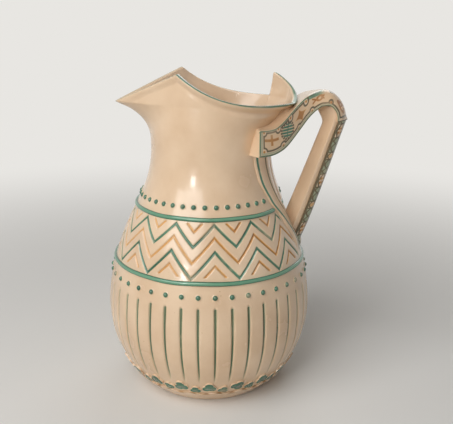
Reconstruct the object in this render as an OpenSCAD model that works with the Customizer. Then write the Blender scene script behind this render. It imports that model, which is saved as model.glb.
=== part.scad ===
// Glazed earthenware jug: a round body with a ribbed belly, a shoulder band between two cords,
// a tall neck with a pulled spout, and a harp-shaped handle whose two arms hold the neck.
// The origin is the middle of the foot on the table. +Z is up, the handle lies along +X.

/* [Body] */
// Radius of the foot on the table
foot_r = 42; // [34:0.5:50]
// Height of the foot ring, up to the floor inside
foot_h = 7; // [5:0.5:10]
// Width of the ring that the jug stands on
foot_ring_w = 8; // [5:0.5:12]
// Depth of the hollow under the foot
foot_recess = 2.5; // [1:0.5:4]
// Largest radius of the belly
belly_r = 66.7; // [60:0.5:74]
// Height of the largest radius
belly_z = 55; // [48:0.5:62]
// Radius where the shoulder meets the neck
shoulder_r = 47; // [43:0.5:51]
// Height where the shoulder meets the neck
shoulder_z = 122.6; // [118:0.2:127]
// Smallest radius of the neck
neck_r = 37.2; // [34:0.2:40]
// Height where the neck is slimmest and the mouth starts
neck_z = 158; // [154:0.5:162]
// Thickness of the clay wall
wall = 4; // [3:0.25:5]

/* [Mouth] */
// Reach of the spout's tip from the middle
tip_reach = 58.4; // [52:0.2:64]
// Height of the spout's tip
tip_z = 187; // [182:0.5:191]
// Height of the two peaks where the spout meets the sides
peak_z = 206.5; // [200:0.5:212]
// Distance of those peaks in front of the middle
peak_front = 18.5; // [14:0.5:22]
// Height of the rim at its lowest, near the handle
dip_z = 187.5; // [182:0.5:191]
// Distance of the lowest rim behind the middle
dip_back = 41.5; // [38:0.5:46]
// Reach of the rim at the back
back_reach = 55; // [48:0.5:58]
// Half width of the rim at the sides
side_half = 36; // [34:0.2:40]
// Rise of the pointed gable at the back
gable_rise = 15.5; // [8:0.5:22]
// Turn of the gable's point from the handle's plane, in degrees
gable_turn = 26; // [0:1:32]
// Width of the gable's gentle slope, in degrees
gable_near_span = 36; // [20:1:45]
// Width of the gable's steep slope, in degrees
gable_far_span = 5; // [3:1:40]
// Height of the thickened lip
lip_h = 4; // [2.5:0.25:6]
// How far the lip stands out from the wall
lip_out = 0.8; // [0.4:0.1:1.5]

/* [Cords and beads] */
// Thickness of the two cords round the body
cord_d = 2.8; // [2:0.1:4]
// Height of the lower cord
lower_cord_z = 87.8; // [84:0.2:92]
// Diameter of the beads
bead_d = 3.4; // [2.4:0.1:4.2]
// Distance of the upper beads above the upper cord
upper_bead_gap = 6.5; // [4.5:0.1:9]
// Number of upper beads in a full turn
upper_bead_count = 41; // [30:1:48]
// Distance of the lower beads below the lower cord
lower_bead_gap = 7.8; // [5:0.1:10]
// Number of lower beads in a full turn
lower_bead_count = 40; // [30:1:46]

/* [Grooves] */
// Width of the flutes below the lower beads, one to a bead
flute_w = 2.4; // [1.5:0.1:3.2]
// Depth of the flutes
flute_depth = 0.9; // [0.4:0.1:1.3]
// Distance of the flutes' heads below the lower beads
flute_top_gap = 6; // [4:0.2:9]
// Height where the flutes run out
flute_low_z = 23; // [22:0.5:30]
// Number of chevrons in a full turn of the shoulder
chevron_count = 13; // [9:1:16]
// Width of the chevrons' grooves, measured up the wall
chevron_w = 2; // [1.2:0.1:2.4]
// Depth of the chevrons' grooves
chevron_depth = 0.7; // [0.3:0.1:1]

/* [Garland] */
// Number of leaves round the foot
leaf_count = 40; // [20:2:44]
// Width of a large leaf
leaf_w = 7; // [5:0.25:8]
// Thickness of a leaf
leaf_t = 0.9; // [0.5:0.1:1.4]
// Height of the large leaves
leaf_z = 18; // [17:0.25:20]
// Thickness of the winding stem
vine_d = 1.6; // [1.2:0.1:2.2]
// Height of the winding stem
vine_z = 9; // [8:0.25:10]
// Number of waves in the stem
vine_waves = 20; // [10:1:24]

/* [Handle] */
// Reach of the handle from the middle
handle_reach = 88; // [82:0.5:94]
// Height of the arm's crest
arm_top_z = 194.4; // [190:0.2:200]
// Height of the arm's lower corner on the neck
arm_low_z = 157.5; // [153:0.5:161]
// Half width of the handle where its arms hold the neck
arm_half_w = 36; // [33:0.5:40]
// Half width of the handle at its bend
bend_half_w = 10; // [9:0.25:13]
// Width of the pillar below the bend
pillar_w = 15; // [11:0.5:17]
// Thickness of the pillar below the bend, without its outer band
pillar_t = 8.5; // [7:0.25:11]
// Thickness of the pillar at its foot, without its outer band
pillar_foot_t = 12.5; // [9:0.25:15]
// Width of the band on the outside of the pillar
band_w = 18; // [16:0.5:20]
// Thickness of the band on the outside of the pillar
band_t = 5; // [3.5:0.25:6]
// Height where the pillar's outer edge lands on the shoulder
pillar_foot_z = 97; // [95:0.5:102]
// Width of a strap below the arm
strap_w = 20; // [14:0.5:22]
// Width of a strap where it ends at the pillar
strap_foot_w = 8; // [6:0.5:10]
// How far the straps stand out from the body
strap_t = 3; // [2:0.2:4]
// Distance from the straps to the cord and the beads beside them
strap_clear = 1.5; // [0.8:0.1:2.5]
// Gap left between pieces that lie on a curved wall
seat_gap = 0.05; // [0.02:0.01:0.1]

/* [Hidden] */
$fn = 96;

cream = [0.90, 0.83, 0.72];
glaze_green = [0.20, 0.47, 0.36];
vine_brown = [0.62, 0.40, 0.20];

// Steepness of the wall at the foot and at the shoulder, as radius over height
foot_slope_share = 1.0;
shoulder_slope_share = -0.52;

// Steps round the mouth, up its wall, and along a body section
mouth_columns = 100;
mouth_rows = 10;
lip_rows = 3;
section_steps = 14;
strap_rows = 18;
strap_columns = 8;
band_columns = 10;
handle_steps = 3;
vine_steps_per_wave = 10;
vine_sides = 6;
flute_steps = 7;
chevron_leg_steps = 3;

// Crowding of the mouth's columns towards the spout, and rounding of its tip, in degrees
crowd_turn = 26;
tip_soft_turn = 4;
// How the spout, the back and the sides open with height, and how the rim sweeps down
spout_power_share = 3.1;
back_power_share = 2.2;
rim_sweep_share = 2.7;
// How blunt the gable's point is, and how its slopes hollow
gable_tip_share = 0.05;
gable_power_share = 1.2;

// Turns of the first lower bead and the first chevron from the middle of the jug's side, in degrees
bead_turn = 3.1;
chevron_turn = 3.5;

foot_in = foot_r - foot_ring_w;
upper_cord_z = shoulder_z;
upper_bead_z = upper_cord_z + upper_bead_gap;
lower_bead_z = lower_cord_z - lower_bead_gap;

// Smooth curve between two heights with a given radius and slope at each
function blend_r(z, z0, r0, s0, z1, r1, s1) =
    let (span = z1 - z0, t = (z - z0) / span)
    (2 * t ^ 3 - 3 * t ^ 2 + 1) * r0 + (t ^ 3 - 2 * t ^ 2 + t) * span * s0
    + (3 * t ^ 2 - 2 * t ^ 3) * r1 + (t ^ 3 - t ^ 2) * span * s1;

// Outer radius of the round body at a height
function body_r(z) =
    z < belly_z ? blend_r(z, 0, foot_r, foot_slope_share, belly_z, belly_r, 0)
    : z < shoulder_z ? blend_r(z, belly_z, belly_r, 0, shoulder_z, shoulder_r, shoulder_slope_share)
    : z < neck_z ? blend_r(z, shoulder_z, shoulder_r, shoulder_slope_share, neck_z, neck_r, 0)
    : neck_r;

// Outward lean of the body's surface at a height, in degrees above level
function body_lean(z) =
    let (step = wall / section_steps)
    atan2(body_r(max(z - step, 0)) - body_r(z + step), min(z, step) + step);

function smooth(t) = let (c = min(1, max(0, t))) c * c * (3 - 2 * c);
function lerp(a, b, t) = a + (b - a) * t;

// A smooth line through a row of points, with a number of steps from each to the next
function smooth_line(points, steps) =
    let (last = len(points) - 1)
    concat([for (i = [0 : last - 1], k = [0 : steps - 1])
        let (t = k / steps, a = points[max(i - 1, 0)], b = points[i],
             c = points[i + 1], d = points[min(i + 2, last)])
        b + (c - a) * t / 2 + (a * 2 - b * 5 + c * 4 - d) * t ^ 2 / 2
          + (b * 3 - a - c * 3 + d) * t ^ 3 / 2],
        [points[last]]);

// Wall of the round body from one height to another
module body_shell(z0, z1) {
    steps = [for (i = [0 : section_steps]) lerp(z0, z1, i / section_steps)];
    outer = [for (z = steps) [body_r(z), z]];
    inner = [for (i = [section_steps : -1 : 0]) [body_r(steps[i]) - wall, steps[i]]];
    rotate_extrude() polygon(concat(outer, inner));
}

// The same stretch of the body, filled
module body_fill(z0, z1) {
    steps = [for (i = [0 : section_steps]) lerp(z0, z1, i / section_steps)];
    rotate_extrude()
        polygon(concat([[0, z0]], [for (z = steps) [body_r(z), z]], [[0, z1]]));
}

// Closed skin over a grid of points whose rows and columns both close on themselves
module ring_skin(rows) {
    n = len(rows);
    m = len(rows[0]);
    function at(i, j) = (i % n) * m + j % m;
    polyhedron(
        points = [for (row = rows) each row],
        faces = [for (i = [0 : n - 1], j = [0 : m - 1])
            each [[at(i, j), at(i, j + 1), at(i + 1, j + 1)],
                  [at(i, j), at(i + 1, j + 1), at(i + 1, j)]]]);
}

// Closed skin over rows of closed loops, capped at its first and last row
module capped_skin(rows) {
    n = len(rows);
    m = len(rows[0]);
    function at(i, j) = i * m + j % m;
    polyhedron(
        points = [for (row = rows) each row],
        faces = concat(
            [for (i = [0 : n - 2], j = [0 : m - 1])
                each [[at(i, j), at(i + 1, j + 1), at(i, j + 1)],
                      [at(i, j), at(i + 1, j), at(i + 1, j + 1)]]],
            [for (j = [1 : m - 2]) [at(0, 0), at(0, j), at(0, j + 1)]],
            [for (j = [1 : m - 2]) [at(n - 1, 0), at(n - 1, j + 1), at(n - 1, j)]]));
}

// How far the mouth has opened at a height, from none at the neck to full at the tip
function opening(z) = min(1, max(0, (z - neck_z) / (tip_z - neck_z)));

// Outer radius of the mouth at a turn from the handle and a height:
// an oval at the back, and tangents that meet in the spout's tip at the front
function mouth_r(turn, z) =
    let (side = lerp(neck_r, side_half, opening(z) ^ 2),
         back = lerp(neck_r, back_reach, opening(z) ^ back_power_share),
         tip = lerp(neck_r, tip_reach, opening(z) ^ spout_power_share),
         off = abs(turn - 360 * round(turn / 360)),
         from_tip = sqrt((180 - off) ^ 2 + tip_soft_turn ^ 2),
         tangent = acos(min(1, side / max(tip, side))))
    off < 90 ? 1 / sqrt((cos(off) / back) ^ 2 + (sin(off) / side) ^ 2)
             : side / cos(max(0, tangent + tip_soft_turn - from_tip));

// Rise of the back gable at a turn from the handle
function gable(turn) =
    let (t = turn - 360 * round(turn / 360) - gable_turn,
         off = t / (t < 0 ? gable_near_span : gable_far_span),
         slope = max(0, 1 - sqrt(off ^ 2 + gable_tip_share ^ 2)))
    gable_rise * (slope / (1 - gable_tip_share)) ^ gable_power_share;

// Height of the rim at a turn from the handle
function rim_z(turn) =
    let (x = mouth_r(turn, tip_z) * cos(turn))
    x < -peak_front
        ? lerp(tip_z, peak_z, (x + tip_reach) / (tip_reach - peak_front))
        : dip_z + (peak_z - dip_z) * max(0, (dip_back - x) / (dip_back + peak_front)) ^ rim_sweep_share
          + gable(turn);

// Turn of a column of the mouth, crowded towards the spout
function mouth_turn(i) =
    let (t = 360 * i / mouth_columns)
    t + crowd_turn * sin(t);

// A point of the mouth's wall, moved outwards by a distance
function mouth_point(turn, z, out = 0) =
    let (r = mouth_r(turn, z) + out)
    [r * cos(turn), r * sin(turn), z];

// One closed loop through the mouth's wall: up the outside, over the lip and down the inside
function mouth_loop(turn) =
    let (top = rim_z(turn), under = top - lip_h)
    concat(
        [for (j = [0 : mouth_rows]) mouth_point(turn, lerp(neck_z, under, j / mouth_rows))],
        [mouth_point(turn, top - lip_h * 3 / 4, lip_out),
         mouth_point(turn, top - lip_h / 3, lip_out),
         mouth_point(turn, top, -wall / 4),
         mouth_point(turn, top, -wall * 3 / 4)],
        [for (j = [mouth_rows : -1 : 0]) mouth_point(turn, lerp(neck_z, under, j / mouth_rows), -wall)]);

// The room that the mouth takes up to a height, lip and all, for what stands against it
module mouth_room(top) {
    lip_from = dip_z - lip_h;
    levels = concat([[neck_z - lip_h, -wall / 4]],
                    [for (j = [0 : mouth_rows]) [lerp(neck_z, lip_from, j / mouth_rows), seat_gap]],
                    [for (j = [0 : lip_rows])
                        [lerp(lip_from + seat_gap, max(tip_z, dip_z), j / lip_rows), lip_out + seat_gap]],
                    [[top, lip_out + seat_gap]]);
    capped_skin([for (level = levels)
        [for (i = [0 : mouth_columns - 1]) mouth_point(mouth_turn(i), level[0], level[1])]]);
}

module foot_ring() {
    color(cream)
        difference() {
            body_fill(0, foot_h);
            translate([0, 0, -foot_h]) cylinder(r = foot_in, h = 3 * foot_h);
        }
}

module base_disc() {
    color(cream)
        translate([0, 0, foot_recess]) cylinder(r = foot_in, h = foot_h - foot_recess);
}

// The room of one flute in the plane through the axis: its floor runs at an even depth and rises
// to the wall at both ends
module flute() {
    top = lower_bead_z - flute_top_gap;
    heights = [for (i = [0 : flute_steps])
        lerp(flute_low_z + 2 * flute_w, top - flute_w / 2, i / flute_steps)];
    bottom = concat([[body_r(flute_low_z), flute_low_z]],
                    [for (z = heights) [body_r(z) - flute_depth, z]],
                    [[body_r(top), top]]);
    open_side = [for (i = [len(bottom) - 1 : -1 : 0])
        [body_r(bottom[i][1]) + 2 * flute_depth, bottom[i][1]]];
    upright(flute_w) polygon(concat(bottom, open_side));
}

module belly() {
    color(cream)
        difference() {
            body_shell(foot_h, lower_cord_z);
            for (i = [0 : lower_bead_count - 1])
                rotate([0, 0, -90 + bead_turn + 360 * i / lower_bead_count]) flute();
        }
}

// The chevrons' zigzags as shares of the shoulder's height: their peaks and their valleys.
// A notch above or below them: its point, its ends, and how far it spreads and is shifted, as
// shares of a chevron's width
zigzag_shares = [[0.925, 0.575], [0.724, 0.322], [0.503, 0.072]];
notch_shares = [[0.81, 0.934, 0.177, 0.5], [0.287, 0.109, 0.209, 0]];
chevron_pitch = 360 / chevron_count;
first_peak = -90 + chevron_turn;
function shoulder_height(share) = lerp(lower_cord_z, shoulder_z, share);

// One section of a groove at a turn and a height, narrower at its floor
function groove_row(turn, z) =
    [for (corner = [[-1 / 4, -1], [1 / 4, -1], [1 / 2, 1], [-1 / 2, 1]])
        let (level = z + corner[0] * chevron_w, r = body_r(level) + corner[1] * chevron_depth)
        [r * cos(turn), r * sin(turn), level]];

// Whether a place on the shoulder lies clear of the two straps
function off_straps(turn, z) =
    let (level = max(z, strap_low_z))
    abs(turn - 360 * round(turn / 360)) > strap_last(level) + arc_turn(strap_clear, level);

function zigzag_z(shares, turn) =
    let (off = (turn - first_peak) / chevron_pitch)
    shoulder_height(lerp(shares[0], shares[1], 2 * abs(off - round(off))));

// A zigzag groove from one strap round the jug to the other
module zigzag(shares) {
    leg = chevron_pitch / 2 / chevron_leg_steps;
    last = 2 * chevron_leg_steps * (chevron_count + 1);
    turns = [for (k = [0 : last]) first_peak + chevron_pitch * floor(90 / chevron_pitch) + k * leg];
    capped_skin([for (turn = turns) let (z = zigzag_z(shares, turn))
        if (turn < 360 && off_straps(turn, z)) groove_row(turn, z)]);
}

// The grooves of one row of notches, left out where they would meet a strap
module notches(shares) {
    spread = chevron_pitch * shares[2];
    for (i = [0 : chevron_count - 1]) {
        middle = first_peak + chevron_pitch * (i + shares[3]);
        rows = [for (k = [-2 : 2])
            [middle + spread * k / 2, shoulder_height(lerp(shares[0], shares[1], abs(k) / 2))]];
        if (len([for (row = rows) if (!off_straps(row[0], row[1])) row]) == 0)
            capped_skin([for (row = rows) groove_row(row[0], row[1])]);
    }
}

module shoulder() {
    color(cream)
        difference() {
            body_shell(lower_cord_z, shoulder_z);
            for (shares = zigzag_shares) zigzag(shares);
            for (shares = notch_shares) notches(shares);
        }
}

module neck() { color(cream) body_shell(shoulder_z, neck_z); }
module mouth() { color(cream) ring_skin([for (i = [0 : mouth_columns - 1]) mouth_loop(mouth_turn(i))]); }

// Section of a round cord that lies against the body at a height
module cord_section(z) {
    difference() {
        translate([body_r(z), z]) circle(d = cord_d, $fn = 32);
        polygon([[0, z - cord_d], [body_r(z - cord_d) + seat_gap, z - cord_d], [body_r(z) + seat_gap, z],
                 [body_r(z + cord_d) + seat_gap, z + cord_d], [0, z + cord_d]]);
    }
}

module lower_cord() {
    color(glaze_green) rotate_extrude() cord_section(lower_cord_z);
}

// The upper cord stops at the two straps and comes back between them
module upper_cord() {
    outside = strap_last(upper_cord_z) + arc_turn(strap_clear, upper_cord_z);
    between = strap_first(upper_cord_z) - arc_turn(strap_clear, upper_cord_z);
    color(glaze_green) {
        rotate([0, 0, outside]) rotate_extrude(angle = 360 - 2 * outside) cord_section(upper_cord_z);
        rotate([0, 0, -between]) rotate_extrude(angle = 2 * between) cord_section(upper_cord_z);
    }
}

// Places its children on the body's surface, with their own Z pointing out of the wall
module on_body(turn, z) {
    rotate([0, 0, turn])
        translate([body_r(z), 0, z])
            rotate([0, 90 - body_lean(z), 0])
                translate([0, 0, seat_gap]) children();
}

// One bead: a dome with a flat back
module bead() {
    rotate_extrude($fn = 32)
        intersection() {
            circle(d = bead_d);
            square(bead_d);
        }
}

module lower_beads() {
    color(glaze_green)
        for (i = [0 : lower_bead_count - 1])
            on_body(-90 + bead_turn + 360 * i / lower_bead_count, lower_bead_z) bead();
}

// Beads are left out where the two straps cross their row
module upper_beads() {
    step = 360 / upper_bead_count;
    clear = arc_turn(strap_clear + bead_d / 2, upper_bead_z);
    color(glaze_green)
        for (i = [0 : upper_bead_count - 1]) {
            turn = -90 + bead_turn + step / 4 + step * i;
            off = abs(turn - 360 * round(turn / 360));
            if (off > strap_last(upper_bead_z) + clear || off < strap_first(upper_bead_z) - clear)
                on_body(turn, upper_bead_z) bead();
        }
}

// One leaf of three round lobes, as wide as its parameter
module leaf(w) {
    lobe = w / 4;
    linear_extrude(height = leaf_t)
        union() {
            for (a = [0, 120, 240]) rotate(180 + a) translate([w / 4, 0]) circle(r = lobe, $fn = 32);
            circle(r = lobe / 2, $fn = 32);
        }
}

// Large and small leaves take turns, the small ones lower down
module garland_leaves() {
    small_share = 0.75;
    drop = leaf_w / 4;
    color(glaze_green)
        for (i = [0 : leaf_count - 1])
            on_body(360 * i / leaf_count, leaf_z - (i % 2) * drop)
                leaf(leaf_w * (i % 2 == 0 ? 1 : small_share));
}

// One ring of points round the stem at a turn from the handle
function vine_ring(turn) =
    let (z = vine_z + vine_d / 2 * sin(vine_waves * turn),
         lean = body_lean(z),
         r = body_r(z),
         half = vine_d / 2)
    [for (k = [0 : vine_sides - 1])
        let (a = 360 * k / vine_sides,
             out = half + 2 * seat_gap + half * cos(a),
             up = half * sin(a),
             rr = r + out * cos(lean) - up * sin(lean),
             zz = z + out * sin(lean) + up * cos(lean))
        [rr * cos(turn), rr * sin(turn), zz]];

module garland_vine() {
    steps = vine_waves * vine_steps_per_wave;
    color(vine_brown)
        ring_skin([for (i = [0 : steps - 1]) vine_ring(360 * i / steps)]);
}

// The handle's side outline at stations from its free end to the bend: a point of its top and one of
// its under side, as shares of the reach beyond the neck and of the height from the arm's lower
// corner to its crest
arm_shares = [[-0.30, 0.445, -0.30, 0], [-0.025, 0.44, 0.005, 0.003], [0.065, 0.47, 0.115, 0.05],
              [0.155, 0.565, 0.22, 0.15], [0.325, 0.79, 0.37, 0.38], [0.46, 0.925, 0.50, 0.59],
              [0.62, 0.995, 0.615, 0.72], [0.705, 1, 0.675, 0.745], [0.78, 0.975, 0.73, 0.75],
              [0.84, 0.915, 0.77, 0.725], [0.89, 0.845, 0.80, 0.685], [0.93, 0.76, 0.825, 0.635],
              [0.96, 0.665, 0.835, 0.59], [0.98, 0.565, 0.84, 0.54], [1, 0.495, 0.84, 0.485]];
arm_last = len(arm_shares) - 1;
function handle_point(share) =
    [lerp(neck_r, handle_reach, share[0]), lerp(arm_low_z, arm_top_z, share[1])];
arm_outline = concat(
    smooth_line([for (s = arm_shares) handle_point(s)], handle_steps),
    smooth_line([for (i = [arm_last : -1 : 0]) handle_point([arm_shares[i][2], arm_shares[i][3]])],
                handle_steps));

function mirrored(points) = [for (i = [len(points) - 1 : -1 : 0]) [-points[i][0], points[i][1]]];

// Half of the handle seen from above: the inner corner of the arm's end, then its outer side from
// the end round the bend. Shares of the half width beyond the bend's, and of the reach beyond the neck
arm_end_shares = [0.47, -0.37];
arm_side_shares = [[1, -0.155], [0.595, 0.155], [0.25, 0.385], [0.11, 0.51], [0.03, 0.645],
                   [0, 0.80], [-0.04, 0.88], [-0.135, 0.95], [-0.31, 1]];
function plan_point(share) =
    [lerp(bend_half_w, arm_half_w, share[0]), lerp(neck_r, handle_reach, share[1])];
arm_half_plan = concat([plan_point(arm_end_shares)],
                       smooth_line([for (s = arm_side_shares) plan_point(s)], handle_steps));

// Half of the handle seen from behind: the two arms' top edges run together on the crest. Shares of
// the half width and of the height from the arm's lower corner to its crest
arm_roof_shares = [[1, 0.46], [0.72, 0.57], [0.61, 0.665], [0.49, 0.80], [0.405, 0.885],
                   [0.295, 0.95], [0.17, 0.985], [0.07, 1]];
arm_half_roof = concat([[arm_half_w, arm_low_z - cord_d]],
                       smooth_line([for (s = arm_roof_shares)
                                    [arm_half_w * s[0], lerp(arm_low_z, arm_top_z, s[1])]], handle_steps));

// Stands a drawing in the handle's plane and gives it a width across that plane
module upright(width) {
    rotate([90, 0, 0]) linear_extrude(height = width, center = true) children();
}

module handle_yoke() {
    color(cream)
        difference() {
            intersection() {
                upright(2 * arm_half_w) polygon(arm_outline);
                translate([0, 0, arm_low_z - cord_d])
                    rotate([0, 0, -90])
                        linear_extrude(height = arm_top_z - arm_low_z + 2 * cord_d)
                            polygon(concat(arm_half_plan, mirrored(arm_half_plan)));
                rotate([90, 0, 90])
                    linear_extrude(height = handle_reach + cord_d)
                        polygon(concat(arm_half_roof, mirrored(arm_half_roof)));
            }
            body_fill(shoulder_z, neck_z);
            mouth_room(arm_top_z + cord_d);
        }
}

// The pillar leans outwards from the shoulder to the bend and is thicker at its foot. Its outer edge
// ends a little inside the bend's tip: that point, as shares like the arm's outline
pillar_top_shares = [0.96, arm_shares[arm_last][1]];
pillar_top = handle_point(pillar_top_shares);
pillar_bottom = [body_r(pillar_foot_z), pillar_foot_z];
pillar_bow_share = 0.3;
pillar_bow = band_t * pillar_bow_share;
pillar_steps = 10;
// The pillar's head inside the bend, whose underside then trims it, as shares like the arm's outline
pillar_head_shares = [[0.865, 0.75], [0.625, 0.75]];
// Outer edge of the pillar, moved inwards by a distance, with a bow that is fullest low down
function pillar_edge(t, inset) =
    [lerp(pillar_bottom[0], pillar_top[0], t) - inset + pillar_bow * sin(180 * sqrt(t)),
     lerp(pillar_bottom[1], pillar_top[1], t)];
// That edge as a row of points up or down, moved inwards by one distance at the foot and one at the top
function pillar_line(foot_inset, top_inset, from, to) =
    [for (i = [0 : pillar_steps])
        let (t = lerp(from, to, i / pillar_steps))
        pillar_edge(t, lerp(foot_inset, top_inset, t))];

module pillar_cut() {
    body_fill(lower_cord_z, shoulder_z);
    body_fill(shoulder_z, neck_z);
}

module handle_pillar() {
    color(cream)
        difference() {
            upright(pillar_w)
                difference() {
                    polygon(concat(pillar_line(band_t, band_t, 0, 1),
                                   [for (s = pillar_head_shares) handle_point(s)],
                                   pillar_line(band_t + pillar_foot_t, band_t + pillar_t, 1, 0)));
                    polygon(arm_outline);
                }
            pillar_cut();
        }
}

// One section of the band at a share of the way up: rounded outside and flat against the pillar
function band_row(t) =
    [for (k = [0 : band_columns])
        let (a = lerp(-90, 90, k / band_columns), edge = pillar_edge(t, band_t * (1 - cos(a))))
        [edge[0], band_w / 2 * sin(a), edge[1]]];

module pillar_band() {
    color(cream)
        difference() {
            capped_skin([for (i = [0 : pillar_steps]) band_row(i / pillar_steps)]);
            upright(2 * band_w) polygon(arm_outline);
            pillar_cut();
        }
}

// A strap runs from under the arm down to the pillar's foot. At equal steps of the way down:
// its inner edge, as a share of the band's half width, and the share of the way to its foot width
strap_shares = [[0.96, 0], [0.96, 0.05], [1.0, 0.3], [1.04, 0.65], [1.06, 1]];
strap_top_z = arm_low_z - seat_gap;
strap_low_z = pillar_foot_z + cord_d;
function strap_share(z, k) =
    let (n = len(strap_shares) - 1,
         t = n * (strap_top_z - z) / (strap_top_z - strap_low_z),
         i = min(n - 1, floor(t)))
    lerp(strap_shares[i][k], strap_shares[i + 1][k], smooth(t - i));

// Turn, in degrees, of a length along the body's wall at a height
function arc_turn(length, z) = length / body_r(z) * 180 / PI;
// Turns of a strap's two edges from the handle's plane at a height
function strap_first(z) = asin(strap_share(z, 0) * band_w / 2 / body_r(z));
function strap_last(z) = strap_first(z) + arc_turn(lerp(strap_w, strap_foot_w, strap_share(z, 1)), z);

// One section of the right strap: a low arch over the wall, then back along the wall
function strap_row(z) =
    let (tall = lerp(strap_t, strap_t / 2, strap_share(z, 1)),
         low = body_r(z) + seat_gap,
         turns = [for (k = [0 : strap_columns]) -lerp(strap_first(z), strap_last(z), k / strap_columns)])
    concat(
        [for (k = [0 : strap_columns])
            let (r = low + tall * sqrt(max(0, sin(180 * k / strap_columns))))
            [r * cos(turns[k]), r * sin(turns[k]), z]],
        [for (k = [strap_columns - 1 : -1 : 1]) [low * cos(turns[k]), low * sin(turns[k]), z]]);

module right_strap() {
    color(cream)
        capped_skin([for (i = [0 : strap_rows]) strap_row(lerp(strap_top_z, strap_low_z, i / strap_rows))]);
}

module left_strap() { mirror([0, 1, 0]) right_strap(); }

foot_ring();
base_disc();
belly();
lower_cord();
shoulder();
upper_cord();
neck();
mouth();
lower_beads();
upper_beads();
garland_leaves();
garland_vine();
handle_yoke();
handle_pillar();
pillar_band();
right_strap();
left_strap();
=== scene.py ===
import math

import bpy
import numpy as np
from mathutils import Matrix, Vector


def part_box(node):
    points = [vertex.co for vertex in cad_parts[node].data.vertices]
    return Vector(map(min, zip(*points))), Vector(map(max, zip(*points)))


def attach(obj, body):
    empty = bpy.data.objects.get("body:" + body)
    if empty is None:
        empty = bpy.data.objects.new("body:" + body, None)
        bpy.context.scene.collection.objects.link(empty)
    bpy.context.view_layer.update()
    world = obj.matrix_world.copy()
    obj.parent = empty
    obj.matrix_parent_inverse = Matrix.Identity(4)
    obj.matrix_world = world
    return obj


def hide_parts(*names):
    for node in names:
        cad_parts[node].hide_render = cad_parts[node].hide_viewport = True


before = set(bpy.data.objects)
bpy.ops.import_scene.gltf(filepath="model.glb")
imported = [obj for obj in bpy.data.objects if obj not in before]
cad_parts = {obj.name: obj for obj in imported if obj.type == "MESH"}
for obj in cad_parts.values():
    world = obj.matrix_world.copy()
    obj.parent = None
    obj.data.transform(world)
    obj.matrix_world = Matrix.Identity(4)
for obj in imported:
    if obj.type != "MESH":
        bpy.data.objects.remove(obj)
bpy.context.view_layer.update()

# Foot: a low ring of ivory earthenware that the jug stands on, turned on the wheel with the body.
# Its lower edges are rounded where the clear glaze was wiped off before firing.
WALL = 0.004
FOOT_R = 0.042
FOOT_EDGE = 0.0012
FOOT_SLOPE = 1.0
BELLY_Z = 0.055
SHOULDER_R = 0.047
SHOULDER_SLOPE = -0.52
NECK_R = 0.0372
MERGE = 1e-6
WHEEL_STEPS = 360
CORNER_POINTS = 7
FOOT_ROWS = 7
SHARP_TURN = math.radians(50)
belly_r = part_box("belly")[1].y
foot_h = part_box("belly")[0].z
lower_cord_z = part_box("belly")[1].z
shoulder_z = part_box("neck")[0].z
neck_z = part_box("neck")[1].z
floor_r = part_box("base_disc")[1].x


def blend_r(z, z0, r0, slope0, z1, r1, slope1):
    """A curve from one radius to another, with a given slope at each end."""
    span = z1 - z0
    t = (z - z0) / span
    rise = (2 * t**3 - 3 * t**2 + 1) * r0 + (3 * t**2 - 2 * t**3) * r1
    return rise + span * ((t**3 - 2 * t**2 + t) * slope0 + (t**3 - t**2) * slope1)


def body_r(z):
    """Outer radius of the round body at the heights z."""
    z = np.asarray(z, float)
    low = blend_r(z, 0, FOOT_R, FOOT_SLOPE, BELLY_Z, belly_r, 0)
    middle = blend_r(z, BELLY_Z, belly_r, 0, shoulder_z, SHOULDER_R, SHOULDER_SLOPE)
    high = blend_r(z, shoulder_z, SHOULDER_R, SHOULDER_SLOPE, neck_z, NECK_R, 0)
    return np.select([z < BELLY_Z, z < shoulder_z, z < neck_z], [low, middle, high], NECK_R)


def close_up():
    """Merges the seams of the mesh in edit mode, turns its faces outwards and leaves edit mode."""
    bpy.ops.mesh.select_all(action="SELECT")
    bpy.ops.mesh.remove_doubles(threshold=MERGE)
    bpy.ops.mesh.normals_make_consistent(inside=False)
    bpy.ops.object.mode_set(mode="OBJECT")


def wall_line(from_z, to_z, rows, inset=0):
    """Points along the body's wall between two heights, or at an inset from it."""
    heights = np.linspace(from_z, to_z, rows + 1)
    return list(zip((body_r(heights) - inset).tolist(), heights.tolist()))


def arc(x, z, radius, from_turn, to_turn, count):
    """Points on an arc in the X-Z plane round a middle point, between two turns in degrees."""
    turns = np.radians(np.linspace(from_turn, to_turn, count))
    return list(zip((x + radius * np.cos(turns)).tolist(), (z + radius * np.sin(turns)).tolist()))


def turn_on_wheel(name, outline, steps):
    """Draws a closed outline point by point in the X-Z plane and spins it once round the axis."""
    bpy.ops.mesh.primitive_plane_add(size=WALL)
    piece = bpy.context.object
    piece.name = piece.data.name = name
    bpy.ops.object.mode_set(mode="EDIT")
    bpy.ops.mesh.merge(type="CENTER")
    x, z = outline[0]
    bpy.ops.transform.translate(value=(x, 0, z))
    for next_x, next_z in outline[1:]:
        step = (next_x - x, 0, next_z - z)
        bpy.ops.mesh.extrude_region_move(TRANSFORM_OT_translate={"value": step})
        x, z = next_x, next_z
    bpy.ops.mesh.select_all(action="SELECT")
    bpy.ops.mesh.edge_face_add()
    bpy.ops.mesh.delete(type="ONLY_FACE")
    bpy.ops.object.mode_set(mode="OBJECT")
    wheel = piece.modifiers.new("wheel", "SCREW")
    wheel.angle = math.tau
    wheel.steps = wheel.render_steps = steps
    wheel.use_merge_vertices = True
    wheel.merge_threshold = MERGE
    bpy.ops.object.modifier_apply(modifier=wheel.name)
    bpy.ops.object.mode_set(mode="EDIT")
    close_up()
    return piece


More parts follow.
